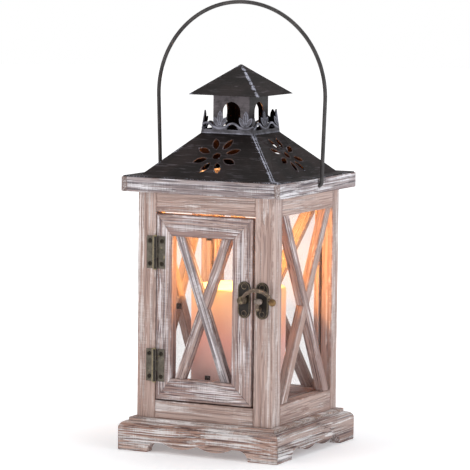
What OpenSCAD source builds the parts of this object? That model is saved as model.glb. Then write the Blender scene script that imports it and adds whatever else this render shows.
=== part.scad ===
// Hanging candle lantern: a whitewashed wooden body with crossed bars and a hinged door,
// a pierced sheet-metal roof with a small vented turret, and a swinging wire handle.
// Millimetres, +Z up. The origin is the middle of the base, on the surface it stands on.
// The door faces -Y.

/* [Base] */
// Outside width of the scalloped base
base_w = 140; // [132:1:150]
// Height of the base boards
base_h = 23; // [20:0.5:26]
// Thickness of the base boards
base_t = 9; // [7:0.5:10]
// Radius of the rounded top edge of the base boards
base_round = 5.5; // [3:0.5:6]
// Height of the cut-outs between the feet
scallop_h = 8.2; // [6:0.2:10]
// Distance from the middle of a base board to the middle of the notch beside a foot
notch_x = 36; // [33:0.5:40]
// Clearance under the rounded lobes of the scalloped edge
lobe_z = 4.5; // [3:0.5:6]
// Width of the step that the body stands on
step_w = 127.4; // [124:0.2:130]
// Height of the step above the base boards
step_h = 2.7; // [2:0.1:4]

/* [Body] */
// Outside width of the wooden body
body_w = 118; // [114:1:120]
// Height of the body, from the step to the lid
body_h = 178.8; // [170:0.2:190]
// Width of a corner post, seen from the front
post_w = 15.8; // [14:0.2:18]
// Depth of a front post
front_post_d = 15.5; // [13:0.5:17]
// Depth of a back post
back_post_d = 11; // [10:0.5:13]
// Height of the rails under the lid
top_rail_h = 15.5; // [13:0.5:18]
// Height of the sill below the door
front_sill_h = 14.3; // [12:0.1:16]
// Height of the sills on the other three sides
sill_h = 16.4; // [14:0.2:18]
// Thickness of the front rails
front_rail_t = 12; // [10:0.5:13]
// Thickness of the side rails
side_rail_t = 13; // [12:0.5:15]

/* [Crossed bars and panes] */
// Width of a body bar, measured level
bar_w = 10.2; // [8:0.2:12]
// Width of a door bar, measured level
door_bar_w = 8.2; // [7:0.2:10]
// Thickness of a bar
bar_t = 6.6; // [5:0.2:7]
// Gap between the end of a bar and the upright beside it
bar_inset = 2.2; // [0:0.2:4]
// Thickness of a glass pane
pane_t = 2; // [1.5:0.1:2]
// Depth of the grooves that hold the fixed panes
groove_d = 3.2; // [2:0.1:4]

/* [Door] */
// Gap beside the hinged edge of the door
hinge_gap = 0.8; // [0.6:0.1:1.2]
// Gap beside the latch edge of the door
latch_gap = 2; // [1:0.1:2.2]
// Gap above the door
door_top_gap = 1.9; // [1:0.1:2.5]
// Gap below the door
door_bottom_gap = 1.2; // [0.8:0.1:2]
// Thickness of the door frame
door_t = 11; // [10:0.5:12]
// Width of the hinged stile
hinge_stile_w = 13.3; // [12:0.1:16]
// Width of the latch stile
latch_stile_w = 17.3; // [16:0.1:18]
// Height of the door rails
door_rail_h = 16.8; // [15:0.1:18]
// Setback of the door bars from the front of the door
door_bar_setback = 2; // [0.5:0.1:2.2]

/* [Hinges] */
// Height of a hinge
hinge_h = 25.6; // [24:0.2:28]
// Height of the upper hinge's middle
upper_hinge_z = 157; // [150:1:165]
// Height of the lower hinge's middle
lower_hinge_z = 68; // [60:1:76]
// Width of one hinge leaf from the pin's axis
leaf_w = 8; // [7.5:0.1:8.5]
// Thickness of a hinge leaf
leaf_t = 1; // [0.8:0.1:1]
// Radius of the hinge barrel
barrel_r = 2; // [1.8:0.1:2.2]
// Radius of the hinge pin
hinge_pin_r = 0.9; // [0.8:0.05:1]

/* [Latch] */
// Height of the latch above the ground
latch_z = 124.6; // [115:0.2:135]
// Width of a latch plate
plate_w = 10.8; // [10:0.1:11]
// Height of a latch plate
plate_h = 28.6; // [27:0.2:30]
// Thickness of a latch plate
plate_t = 1.2; // [1:0.1:1.5]
// Distance from the hook's pivot to its ball
hook_reach = 26.8; // [25:0.2:28]
// Rise of the hook's arch above the pivot
hook_rise = 8.6; // [8:0.2:10]
// Radius of the hook's arm
hook_r = 1.5; // [1.2:0.05:1.5]
// Radius of the ball at the end of the hook
ball_r = 3; // [2.2:0.1:3]

/* [Lid and roof] */
// Width of the wooden lid
lid_w = 138; // [134:1:140]
// Thickness of the lid
lid_t = 11.5; // [10:0.5:13]
// Thickness of the strips on the lid's sides
lid_edge_t = 4.5; // [4:0.5:6]
// Width of the vent opening through the lid
lid_vent_w = 88; // [70:1:92]
// Thickness of the sheet metal
sheet_t = 0.9; // [0.7:0.1:1]
// Width of the flat flange under the roof
flange_w = 136; // [130:1:137]
// Width of the foot of the roof's slopes
slope_w = 116; // [112:1:120]
// Width of the flat deck on top of the roof
deck_w = 47; // [44:1:50]
// Height of the roof from the lid to the deck
roof_h = 33; // [30:0.5:36]
// Distance from the middle of a flower to the middle of a petal
petal_ring_r = 13.6; // [13:0.1:14]

/* [Turret] */
// Height of the fretwork crown
crown_h = 18.6; // [17:0.2:20]
// Width of the turret
turret_w = 32.4; // [31:0.2:34]
// Width of the arched vents in the turret
arch_w = 15.8; // [14:0.2:18]
// Height of the turret's vent arches above the deck
arch_h = 25; // [22:0.2:27]
// Height of the cap's eaves above the deck
eaves_h = 30.6; // [29:0.2:34]
// Width of the cap
cap_w = 62; // [58:1:64]
// Height of the cap
cap_h = 23.7; // [20:0.1:26]

/* [Handle] */
// Radius of the handle's wire
wire_r = 1.55; // [1.4:0.05:1.7]
// Radius of the handle's bow, to the middle of the wire
bow_r = 73.5; // [73:0.1:75]
// Height of the bow's centre above the pivots
bow_h = 68.3; // [60:0.1:75]
// Distance of the wire's lower end from the lantern's middle
leg_foot_x = 71.4; // [71.2:0.1:72]

/* [Candle] */
// Diameter of the candle
candle_d = 76; // [60:1:78]
// Height of the candle
candle_h = 102; // [70:1:110]

/* [Hidden] */

WOOD = "rosybrown";
PALE_WOOD = "tan";
IRON = "dimgray";
PEWTER = "slategray";
BRONZE = "darkolivegreen";
ROUND = 48;
FINE = 72;
CUT = 1;                                   // how far a cutting shape runs past what it cuts

half = body_w / 2;
front_y = -half;
floor_z = base_h + step_h;
lid_z = floor_z + body_h;
lid_top = lid_z + lid_t;
open_x = half - post_w;                    // half the clear width between the posts
window_top = lid_z - top_rail_h;
sill_z = floor_z + sill_h;
front_sill_z = floor_z + front_sill_h;
side_near_y = front_y + front_post_d;
side_far_y = half - back_post_d;
fit = 0.15;                                // slack round a pane in its groove
side_reveal = 9;                           // wood in front of a side pane
back_reveal = 6.6;                         // wood in front of the back pane
groove_w = pane_t + 2 * fit;

door_x0 = -open_x + hinge_gap;
door_x1 = open_x - latch_gap;
door_z0 = front_sill_z + door_bottom_gap;
door_z1 = window_top - door_top_gap;
door_back = front_y + door_t;
view_x0 = door_x0 + hinge_stile_w;
view_x1 = door_x1 - latch_stile_w;
view_z0 = door_z0 + door_rail_h;
view_z1 = door_z1 - door_rail_h;
rebate_w = 4;                              // rebate behind the door frame, for its pane
rebate_d = pane_t + 2 * fit;

pin_x = -open_x + hinge_gap / 2;
pin_y = front_y - barrel_r - 0.1;
pin_slack = 0.06;
knuckle_gap = 0.3;
leaf_screw_x = 5.2;
leaf_screw_z = 9;

plate_x = door_x1 - plate_w / 2 - 1.1;
catch_x = open_x + plate_w / 2 + 1.6;
plate_screw_z = 10.5;
hook_y = front_y - plate_t - 4.6;          // middle of the hook's thickness
hook_eye_r = 3.1;
rivet_r = 1.5;

deck_z = lid_top + roof_h;
slope_rise = (roof_h - sheet_t) / ((slope_w - deck_w) / 2);
slope_angle = atan(slope_rise);
roof_drop = sheet_t / cos(slope_angle);
slope_len = (slope_w - deck_w) / 2 / cos(slope_angle);
cap_z = deck_z + eaves_h;
cap_rise = cap_h / (cap_w / 2);
cap_drop = sheet_t / cos(atan(cap_rise));

bail_z = lid_z + lid_t / 2;
bow_z = bail_z + bow_h;
leg_tilt = atan((bow_r - leg_foot_x) / bow_h);
elbow_r = 3;
bail_end_x = lid_w / 2 - 9;

// ---------- shared shapes ----------

module block(x0, x1, y0, y1, z0, z1) {
    translate([x0, y0, z0]) cube([x1 - x0, y1 - y0, z1 - z0]);
}

// A flat outline drawn in X and Z, standing up between two depths along Y
module upright(y0, y1) {
    translate([0, y1, 0]) rotate([90, 0, 0]) linear_extrude(height = y1 - y0) children();
}

module post_at(x, y, r, z0, z1) {
    translate([x, y, z0]) cylinder(h = z1 - z0, r = r, $fn = ROUND);
}

// A round bar along Y
module stud(x, z, r, y0, y1) {
    translate([x, y1, z]) rotate([90, 0, 0]) cylinder(h = y1 - y0, r = r, $fn = ROUND);
}

// A countersunk wood screw at the origin, with its head flush at z = 0 and its shank below
module wood_screw(head_r, shank_r, length) {
    head_h = head_r - shank_r;
    union() {
        translate([0, 0, -head_h]) cylinder(h = head_h, r1 = shank_r, r2 = head_r, $fn = ROUND);
        translate([0, 0, -length]) cylinder(h = length - head_h, r = shank_r, $fn = ROUND);
    }
}

// ---------- base ----------

module scallop_outline() {
    lobe_x = notch_x / 2 - 3;
    lobe_r = (pow(lobe_x, 2) + pow(scallop_h - lobe_z, 2)) / (2 * (scallop_h - lobe_z));
    difference() {
        translate([-base_w / 2, 0]) square([base_w, base_h]);
        for (side = [-1, 1]) translate([side * notch_x, 0]) circle(r = scallop_h, $fn = ROUND);
        difference() {
            translate([-notch_x, -CUT]) square([2 * notch_x, scallop_h + CUT]);
            for (side = [-1, 1]) {
                translate([side * lobe_x, lobe_z + lobe_r]) circle(r = lobe_r, $fn = 2 * FINE);
            }
        }
    }
}

// The moulded section of a base board, drawn with its outer face on the left
module base_section() {
    union() {
        square([base_t, base_h - base_round]);
        translate([base_round, 0]) square([base_t - base_round, base_h]);
        translate([base_round, base_h - base_round]) circle(r = base_round, $fn = FINE);
    }
}

module base_board() {
    half_base = base_w / 2;
    intersection() {
        upright(-half_base, -half_base + base_t) scallop_outline();
        translate([-half_base, -half_base, 0]) rotate([90, 0, 90])
            linear_extrude(height = base_w) base_section();
        linear_extrude(height = base_h)
            polygon([[-half_base, -half_base], [half_base, -half_base], [0, 0]]);
    }
}

module base_front() color(WOOD) base_board();
module base_back() color(WOOD) rotate([0, 0, 180]) base_board();
module base_left() color(WOOD) rotate([0, 0, -90]) base_board();
module base_right() color(WOOD) rotate([0, 0, 90]) base_board();

module floor_board() {
    tongue = base_w / 2 - base_t - 0.2;
    tongue_h = 6;
    color(WOOD) difference() {
        union() {
            block(-step_w / 2, step_w / 2, -step_w / 2, step_w / 2, base_h, floor_z);
            block(-tongue, tongue, -tongue, tongue, base_h - tongue_h, base_h);
        }
        floor_screw_set();
    }
}

// ---------- posts, rails and sills ----------

module body_screw_places() {
    for (x = [-1, 1]) {
        translate([x * (half - post_w / 2), front_y + front_post_d / 2, 0]) children();
        translate([x * (half - post_w / 2), half - back_post_d / 2, 0]) children();
    }
}

module floor_screw_set() {
    body_screw_places() translate([0, 0, base_h - 6]) mirror([0, 0, 1]) wood_screw(3, 1.5, 26);
}

module lid_screw_set() {
    body_screw_places() translate([0, 0, lid_top]) wood_screw(3, 1.5, 30);
}

module floor_screws() color(IRON) floor_screw_set();
module lid_screws() color(IRON) lid_screw_set();

// The groove round a side window, as a solid to cut with
module side_groove() {
    x1 = half - side_reveal;
    for (side = [-1, 1]) {
        block(min(side * x1, side * (x1 - groove_w)), max(side * x1, side * (x1 - groove_w)),
              side_near_y - groove_d, side_far_y + groove_d, sill_z - groove_d, window_top + groove_d);
    }
}

module back_groove() {
    y1 = half - back_reveal;
    block(-open_x - groove_d, open_x + groove_d, y1 - groove_w, y1,
          sill_z - groove_d, window_top + groove_d);
}

module corner_post(side, front) {
    x0 = side > 0 ? open_x : -half;
    y0 = front ? front_y : side_far_y;
    y1 = front ? side_near_y : half;
    difference() {
        block(x0, x0 + post_w, y0, y1, floor_z, lid_z);
        side_groove();
        if (!front) back_groove();
        floor_screw_set();
        lid_screw_set();
        if (front) frame_screw_set();
    }
}

module post_front_left() color(WOOD) corner_post(-1, true);
module post_front_right() color(WOOD) corner_post(1, true);
module post_back_left() color(WOOD) corner_post(-1, false);
module post_back_right() color(WOOD) corner_post(1, false);

module front_rail(z0, z1) block(-open_x, open_x, front_y, front_y + front_rail_t, z0, z1);

module back_rail(z0, z1) {
    difference() {
        block(-open_x, open_x, side_far_y, half, z0, z1);
        back_groove();
    }
}

module side_rail(side, z0, z1) {
    x0 = side > 0 ? half - side_rail_t : -half;
    difference() {
        block(x0, x0 + side_rail_t, side_near_y, side_far_y, z0, z1);
        side_groove();
    }
}

module top_rail_front() color(WOOD) front_rail(window_top, lid_z);
module top_rail_back() color(WOOD) back_rail(window_top, lid_z);
module top_rail_left() color(WOOD) side_rail(-1, window_top, lid_z);
module top_rail_right() color(WOOD) side_rail(1, window_top, lid_z);
module sill_front() color(WOOD) front_rail(floor_z, front_sill_z);
module sill_back() color(WOOD) back_rail(floor_z, sill_z);
module sill_left() color(WOOD) side_rail(-1, floor_z, sill_z);
module sill_right() color(WOOD) side_rail(1, floor_z, sill_z);

// ---------- crossed bars ----------

// Outline of one slanting bar in a window; lean is 1 when it falls from left to right
module bar_outline(x0, x1, z0, z1, width, lean) {
    reach = (x1 - x0) / 2 - bar_inset - width / 2;
    middle = (x0 + x1) / 2;
    top_x = middle - lean * reach;
    foot_x = middle + lean * reach;
    polygon([[top_x - width / 2, z1], [top_x + width / 2, z1],
             [foot_x + width / 2, z0], [foot_x - width / 2, z0]]);
}

// One bar of a half-lapped cross; the outer bar is whole in front, the inner one behind
module crossed_bar(x0, x1, z0, z1, width, y0, outer) {
    lean = outer ? 1 : -1;
    lap_y0 = outer ? y0 + bar_t / 2 : y0 - CUT;
    lap_y1 = outer ? y0 + bar_t + CUT : y0 + bar_t / 2;
    difference() {
        upright(y0, y0 + bar_t) bar_outline(x0, x1, z0, z1, width, lean);
        upright(lap_y0, lap_y1) bar_outline(x0, x1, z0, z1, width, -lean);
    }
}

body_bar_setback = 0.5;

module right_bar(outer) {
    rotate([0, 0, 90]) crossed_bar(side_near_y, side_far_y, sill_z, window_top, bar_w,
                                   front_y + body_bar_setback, outer);
}

module left_bar(outer) {
    rotate([0, 0, -90]) crossed_bar(-side_far_y, -side_near_y, sill_z, window_top, bar_w,
                                    front_y + body_bar_setback, outer);
}

module back_bar(outer) {
    back_bar_setback = 0;
    rotate([0, 0, 180]) crossed_bar(-open_x, open_x, sill_z, window_top, bar_w,
                                    front_y + back_bar_setback, outer);
}

module bar_left_outer() color(WOOD) left_bar(true);
module bar_left_inner() color(WOOD) left_bar(false);
module bar_right_outer() color(WOOD) right_bar(true);
module bar_right_inner() color(WOOD) right_bar(false);
module bar_back_outer() color(WOOD) back_bar(true);
module bar_back_inner() color(WOOD) back_bar(false);

module door_bar(outer) {
    crossed_bar(view_x0, view_x1, view_z0, view_z1, door_bar_w, front_y + door_bar_setback, outer);
}

module door_bar_outer() color(WOOD) door_bar(true);
module door_bar_inner() color(WOOD) door_bar(false);

// ---------- glass ----------

module side_pane(side) {
    lap = groove_d - 0.3;
    x1 = half - side_reveal - fit;
    x0 = side > 0 ? x1 - pane_t : -x1;
    color("aliceblue", 0.35)
        block(x0, x0 + pane_t, side_near_y - lap, side_far_y + lap, sill_z - lap, window_top + lap);
}

module pane_left() side_pane(-1);
module pane_right() side_pane(1);

module pane_back() {
    lap = groove_d - 0.3;
    y1 = half - back_reveal - fit;
    color("aliceblue", 0.35)
        block(-open_x - lap, open_x + lap, y1 - pane_t, y1, sill_z - lap, window_top + lap);
}

module door_pane() {
    lap = rebate_w - 0.3;
    y0 = door_back - rebate_d + fit;
    color("aliceblue", 0.35)
        block(view_x0 - lap, view_x1 + lap, y0, y0 + pane_t, view_z0 - lap, view_z1 + lap);
}

// ---------- door frame ----------

module door_rebate() {
    block(view_x0 - rebate_w, view_x1 + rebate_w, door_back - rebate_d, door_back + CUT,
          view_z0 - rebate_w, view_z1 + rebate_w);
}

// One mitred member of the door frame, from its four corners
module door_member(points) {
    color(WOOD) difference() {
        upright(front_y, door_back) polygon(points);
        door_rebate();
        door_screw_set();
        clip_screw_set();
        latch_rivet_shape();
    }
}

module door_stile_hinge() {
    door_member([[door_x0, door_z0], [view_x0, view_z0], [view_x0, view_z1], [door_x0, door_z1]]);
}

module door_stile_latch() {
    door_member([[door_x1, door_z0], [door_x1, door_z1], [view_x1, view_z1], [view_x1, view_z0]]);
}

module door_rail_top() {
    door_member([[door_x0, door_z1], [view_x0, view_z1], [view_x1, view_z1], [door_x1, door_z1]]);
}

module door_rail_bottom() {
    door_member([[door_x0, door_z0], [door_x1, door_z0], [view_x1, view_z0], [view_x0, view_z0]]);
}

// The places of the four turn clips that hold the door's pane, each at the middle of an edge
module clip_places() {
    mid_x = (view_x0 + view_x1) / 2;
    mid_z = (view_z0 + view_z1) / 2;
    translate([view_x0, door_back, mid_z]) children();
    translate([view_x1, door_back, mid_z]) rotate([0, 180, 0]) children();
    translate([mid_x, door_back, view_z0]) rotate([0, -90, 0]) children();
    translate([mid_x, door_back, view_z1]) rotate([0, 90, 0]) children();
}

clip_screw_x = -6.5;
clip_t = 0.8;

module clip_screw_shape() {
    translate([clip_screw_x, clip_t, 0]) rotate([-90, 0, 0]) wood_screw(1.6, 0.8, 5.5);
}

module clip_screw_set() clip_places() clip_screw_shape();

module pane_clips() {
    clip_w = 4.4;
    clip_lap = 3;
    color(BRONZE) clip_places() difference() {
        union() {
            block(clip_screw_x, clip_lap, 0, clip_t, -clip_w / 2, clip_w / 2);
            stud(clip_screw_x, 0, clip_w / 2, 0, clip_t);
        }
        clip_screw_shape();
    }
}

module clip_screws() color(IRON) clip_screw_set();

// ---------- hinges ----------

module leaf_screw(x, z) {
    translate([x, front_y - leaf_t, z]) rotate([90, 0, 0]) wood_screw(2.1, 1.1, 7.5);
}

module leaf_screws(side) {
    for (z = [upper_hinge_z, lower_hinge_z]) {
        for (dz = [-leaf_screw_z, leaf_screw_z]) leaf_screw(pin_x + side * leaf_screw_x, z + dz);
    }
}

module plate_screws(x) {
    for (dz = [-plate_screw_z, plate_screw_z]) {
        translate([x, front_y - plate_t, latch_z + dz]) rotate([90, 0, 0]) wood_screw(2, 1, 7.5);
    }
}

module frame_screw_set() {
    leaf_screws(-1);
    plate_screws(catch_x);
}

module door_screw_set() {
    leaf_screws(1);
    plate_screws(plate_x);
}

module frame_screws() color(BRONZE) frame_screw_set();
module door_screws() color(BRONZE) door_screw_set();

// A leaf with its share of the barrel; side is -1 on the post and 1 on the door
module hinge_leaf(z, side) {
    third = hinge_h / 3;
    leaf_near = barrel_r + 0.3;
    color(BRONZE) difference() {
        union() {
            for (turn = side < 0 ? [-1, 1] : [0]) {
                z0 = z + turn * third - third / 2 + knuckle_gap / 2;
                z1 = z0 + third - knuckle_gap;
                post_at(pin_x, pin_y, barrel_r, z0, z1);
                block(min(pin_x, pin_x + side * leaf_near), max(pin_x, pin_x + side * leaf_near),
                      front_y - leaf_t, front_y, z0, z1);
            }
            block(min(pin_x + side * leaf_near, pin_x + side * leaf_w),
                  max(pin_x + side * leaf_near, pin_x + side * leaf_w),
                  front_y - leaf_t, front_y, z - hinge_h / 2, z + hinge_h / 2);
        }
        post_at(pin_x, pin_y, hinge_pin_r + pin_slack, z - hinge_h, z + hinge_h);
        frame_screw_set();
        door_screw_set();
    }
}

module hinge_upper_post_leaf() hinge_leaf(upper_hinge_z, -1);
module hinge_lower_post_leaf() hinge_leaf(lower_hinge_z, -1);
module hinge_upper_door_leaf() hinge_leaf(upper_hinge_z, 1);
module hinge_lower_door_leaf() hinge_leaf(lower_hinge_z, 1);

module hinge_pins() {
    pin_head_h = 0.7;
    color(BRONZE) for (z = [upper_hinge_z, lower_hinge_z]) union() {
        post_at(pin_x, pin_y, hinge_pin_r, z - hinge_h / 2, z + hinge_h / 2);
        post_at(pin_x, pin_y, barrel_r * 0.7, z + hinge_h / 2, z + hinge_h / 2 + pin_head_h);
        post_at(pin_x, pin_y, barrel_r * 0.7, z - hinge_h / 2 - pin_head_h, z - hinge_h / 2);
    }
}

// ---------- latch ----------

module plate_outline(x) {
    straight = plate_h - plate_w;
    union() {
        translate([x - plate_w / 2, latch_z - straight / 2]) square([plate_w, straight]);
        for (end = [-1, 1]) {
            translate([x, latch_z + end * straight / 2]) circle(d = plate_w, $fn = FINE);
        }
    }
}

module latch_rivet_shape() {
    union() {
        stud(plate_x, latch_z, rivet_r, hook_y - hook_r - 0.5, front_y + 6);
        stud(plate_x, latch_z, hook_eye_r - 0.4, hook_y - hook_r - 1.1, hook_y - hook_r - 0.1);
    }
}

module latch_rivet() color(BRONZE) latch_rivet_shape();

module latch_plate() {
    collar_r = 2.5;
    color(BRONZE) difference() {
        union() {
            upright(front_y - plate_t, front_y) plate_outline(plate_x);
            stud(plate_x, latch_z, collar_r, hook_y + hook_r + 0.3, front_y - plate_t);
        }
        door_screw_set();
        latch_rivet_shape();
    }
}

// The hook arches from its eye on the door to a ball beyond the catch
module latch_hook() {
    arch_r = (pow(hook_reach / 2, 2) + pow(hook_rise, 2)) / (2 * hook_rise);
    start_angle = acos(hook_reach / 2 / arch_r);
    color(BRONZE) difference() {
        union() {
            stud(plate_x, latch_z, hook_eye_r, hook_y - hook_r, hook_y + hook_r);
            translate([plate_x + hook_reach / 2, hook_y, latch_z + hook_rise - arch_r])
                rotate([90, 0, 0]) rotate([0, 0, start_angle])
                rotate_extrude(angle = 180 - 2 * start_angle, $fn = FINE)
                translate([arch_r, 0]) circle(r = hook_r, $fn = 24);
            translate([plate_x + hook_reach, hook_y, latch_z]) sphere(r = ball_r, $fn = ROUND);
        }
        stud(plate_x, latch_z, rivet_r + pin_slack, hook_y - 4 * hook_r, hook_y + 4 * hook_r);
    }
}

// The catch is a plate with a tongue that stands out, turns up and ends in a thick level knob
module catch_plate() {
    tongue_r = 1.5;
    tongue_h = 6.2;
    root_x = catch_x - 1.8;
    root_z = latch_z - 6.5;
    knob_r = 2.4;
    knob_half = 1.2;
    knob_x = catch_x - 0.9;
    color(BRONZE) difference() {
        union() {
            upright(front_y - plate_t, front_y) plate_outline(catch_x);
            stud(root_x, root_z, tongue_r, hook_y, front_y - plate_t);
            translate([root_x, hook_y, root_z]) sphere(r = tongue_r, $fn = ROUND);
            translate([root_x, hook_y, root_z]) rotate([0, 8, 0])
                cylinder(h = tongue_h, r1 = tongue_r, r2 = tongue_r * 1.1, $fn = ROUND);
            for (side = [-1, 1]) {
                translate([knob_x + side * knob_half, hook_y, latch_z]) sphere(r = knob_r, $fn = ROUND);
            }
            translate([knob_x - knob_half, hook_y, latch_z]) rotate([0, 90, 0])
                cylinder(h = 2 * knob_half, r = knob_r, $fn = ROUND);
        }
        frame_screw_set();
    }
}

// ---------- lid ----------

module bail_bores() {
    for (side = [-1, 1]) {
        translate([side * (bail_end_x - 0.5), 0, bail_z]) rotate([0, side * 90, 0])
            cylinder(h = lid_w / 2 - bail_end_x + 0.5 + CUT, r = wire_r + pin_slack, $fn = ROUND);
    }
}

module lid_panel() {
    edge_x = lid_w / 2 - lid_edge_t;
    vent = lid_vent_w / 2;
    color(WOOD) difference() {
        block(-edge_x, edge_x, -lid_w / 2, lid_w / 2, lid_z, lid_top);
        block(-vent, vent, -vent, vent, lid_z - CUT, lid_top + CUT);
        bail_bores();
        lid_screw_set();
    }
}

module lid_edge(side) {
    x0 = side > 0 ? lid_w / 2 - lid_edge_t : -lid_w / 2;
    color(PALE_WOOD) difference() {
        block(x0, x0 + lid_edge_t, -lid_w / 2, lid_w / 2, lid_z, lid_top);
        bail_bores();
    }
}

module lid_edge_left() lid_edge(-1);
module lid_edge_right() lid_edge(1);

// ---------- roof ----------

// A solid with four equal sloping sides, from the outline of one of its faces
module four_sided(reach) {
    intersection() {
        upright(-reach, reach) children();
        rotate([0, 0, 90]) upright(-reach, reach) children();
    }
}

// Outline of the roof: from under the flange up to the deck, lowered by drop
module roof_outline(drop) {
    foot_z = lid_top + sheet_t - drop;
    sink = 4;
    spread = sink / slope_rise;
    top_z = min(deck_z - drop, deck_z - sheet_t * (drop > 0 ? 1 : 0));
    top_x = deck_w / 2 + (deck_z - drop - top_z) / slope_rise;
    polygon([[-slope_w / 2 - spread, foot_z - sink], [slope_w / 2 + spread, foot_z - sink],
             [top_x, top_z], [-top_x, top_z]]);
}

module petal() {
    petal_l = 12.2;
    petal_w = 5.6;
    bend_r = (pow(petal_l / 2, 2) + pow(petal_w / 2, 2)) / petal_w;
    intersection_for (side = [-1, 1]) {
        translate([0, side * (bend_r - petal_w / 2)]) circle(r = bend_r, $fn = FINE);
    }
}

// A pierced flower of eight petals round a middle hole, laid flat
module flower() {
    petals = 8;
    middle_r = 3.4;
    union() {
        circle(r = middle_r, $fn = ROUND);
        for (i = [0 : petals - 1]) {
            rotate(22.5 + i * 360 / petals) translate([petal_ring_r, 0]) petal();
        }
    }
}

// Cuts a flower through each slope
module flower_cutters() {
    up_slope = slope_len / 2;
    for (turn = [0 : 90 : 270]) {
        rotate([0, 0, turn]) translate([0, -slope_w / 2, lid_top + sheet_t]) rotate([slope_angle, 0, 0])
            translate([0, up_slope, -4]) linear_extrude(height = 8) flower();
    }
}

module roof_skirt() {
    flange = flange_w / 2;
    vent = turret_w / 2 - 3;
    color(IRON) difference() {
        union() {
            block(-flange, flange, -flange, flange, lid_top, lid_top + sheet_t);
            intersection() {
                four_sided(slope_w) roof_outline(0);
                block(-flange, flange, -flange, flange, lid_top, deck_z + CUT);
            }
        }
        four_sided(slope_w) roof_outline(roof_drop);
        block(-vent, vent, -vent, vent, deck_z - 4, deck_z + CUT);
        flower_cutters();
    }
}

// ---------- crown ----------

crown_pitch = 22.6;
// Place of the first arch on the front, right, back and left strips
crown_phases = [4, -12.9, -6.6, -12.9];
crown_lean = 6.5;
crown_half = deck_w / 2 - 0.3;

module crown_leaf(length, width) {
    bend_r = (pow(length / 2, 2) + pow(width / 2, 2)) / width;
    intersection_for (side = [-1, 1]) {
        translate([side * (bend_r - width / 2), length / 2]) circle(r = bend_r, $fn = ROUND);
    }
}

// A three-leaved tulip standing in the dip of the wavy band
module tulip() {
    foot = 6.4;
    dip_w = 12;
    leaf_l = 9;
    leaf_w = 4;
    leaf_turn = 32;
    union() {
        translate([0, foot]) crown_leaf(crown_h - foot, 4.8);
        for (side = [-1, 1]) {
            translate([side * 0.8, foot - 0.6]) rotate(-side * leaf_turn) crown_leaf(leaf_l, leaf_w);
        }
        translate([-dip_w / 2, 0]) square([dip_w, foot]);
    }
}

// One strip of the crown laid flat: half-moon arches on a band, with a tulip between each pair
module crown_pattern(phase) {
    band_h = 3.6;
    arch_r = 5.5;
    arch_sink = 1.5;
    ribbon = 1.8;
    difference() {
        union() {
            translate([-2 * crown_pitch, 0]) square([4 * crown_pitch, band_h]);
            for (i = [-2 : 2]) translate([phase + i * crown_pitch, 0]) {
                translate([0, band_h - arch_sink]) circle(r = arch_r + ribbon, $fn = ROUND);
                translate([crown_pitch / 2, 0]) tulip();
            }
        }
        translate([-3 * crown_pitch, -2 * crown_pitch]) square([6 * crown_pitch, 2 * crown_pitch]);
        for (i = [-2 : 2]) translate([phase + i * crown_pitch, 0]) {
            intersection() {
                translate([0, band_h - arch_sink]) circle(r = arch_r, $fn = ROUND);
                translate([-arch_r, band_h]) square([2 * arch_r, crown_h]);
            }
        }
    }
}

module crown() {
    rise = crown_h / cos(crown_lean);
    draw_in = rise * sin(crown_lean);
    foot_z = sheet_t * tan(crown_lean) + 0.02;
    color(PEWTER) for (i = [0 : 3]) {
        rotate([0, 0, i * 90]) translate([0, -crown_half, deck_z]) rotate([-crown_lean, 0, 0])
            upright(0, sheet_t) intersection() {
                crown_pattern(crown_phases[i]);
                polygon([[-crown_half, foot_z], [crown_half, foot_z],
                         [crown_half - draw_in, rise], [-crown_half + draw_in, rise]]);
            }
    }
}

// ---------- turret and cap ----------

module arch_outline() {
    spring = arch_h - arch_w / 2;
    union() {
        translate([-arch_w / 2, 2]) square([arch_w, spring - 2]);
        translate([0, spring]) circle(d = arch_w, $fn = FINE);
    }
}

module turret() {
    outer = turret_w / 2;
    inner = outer - sheet_t;
    top_z = cap_z + cap_h - cap_drop - outer * cap_rise - 0.02;
    color(PEWTER) difference() {
        block(-outer, outer, -outer, outer, deck_z, top_z);
        block(-inner, inner, -inner, inner, deck_z - CUT, top_z + CUT);
        for (turn = [0, 90]) rotate([0, 0, turn]) translate([0, 0, deck_z])
            upright(-turret_w, turret_w) arch_outline();
    }
}

module cap_outline(drop) {
    sink = drop > 0 ? 4 : 0;
    reach = cap_w / 2 + sink / cap_rise;
    polygon([[-reach, cap_z - drop - sink], [reach, cap_z - drop - sink], [0, cap_z + cap_h - drop]]);
}

module cap() {
    blunt = 0.5;
    color(IRON) difference() {
        four_sided(cap_w) cap_outline(0);
        four_sided(cap_w) cap_outline(cap_drop);
        translate([-2, -2, cap_z + cap_h - blunt]) cube([4, 4, 4]);
    }
}

// ---------- handle ----------

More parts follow.
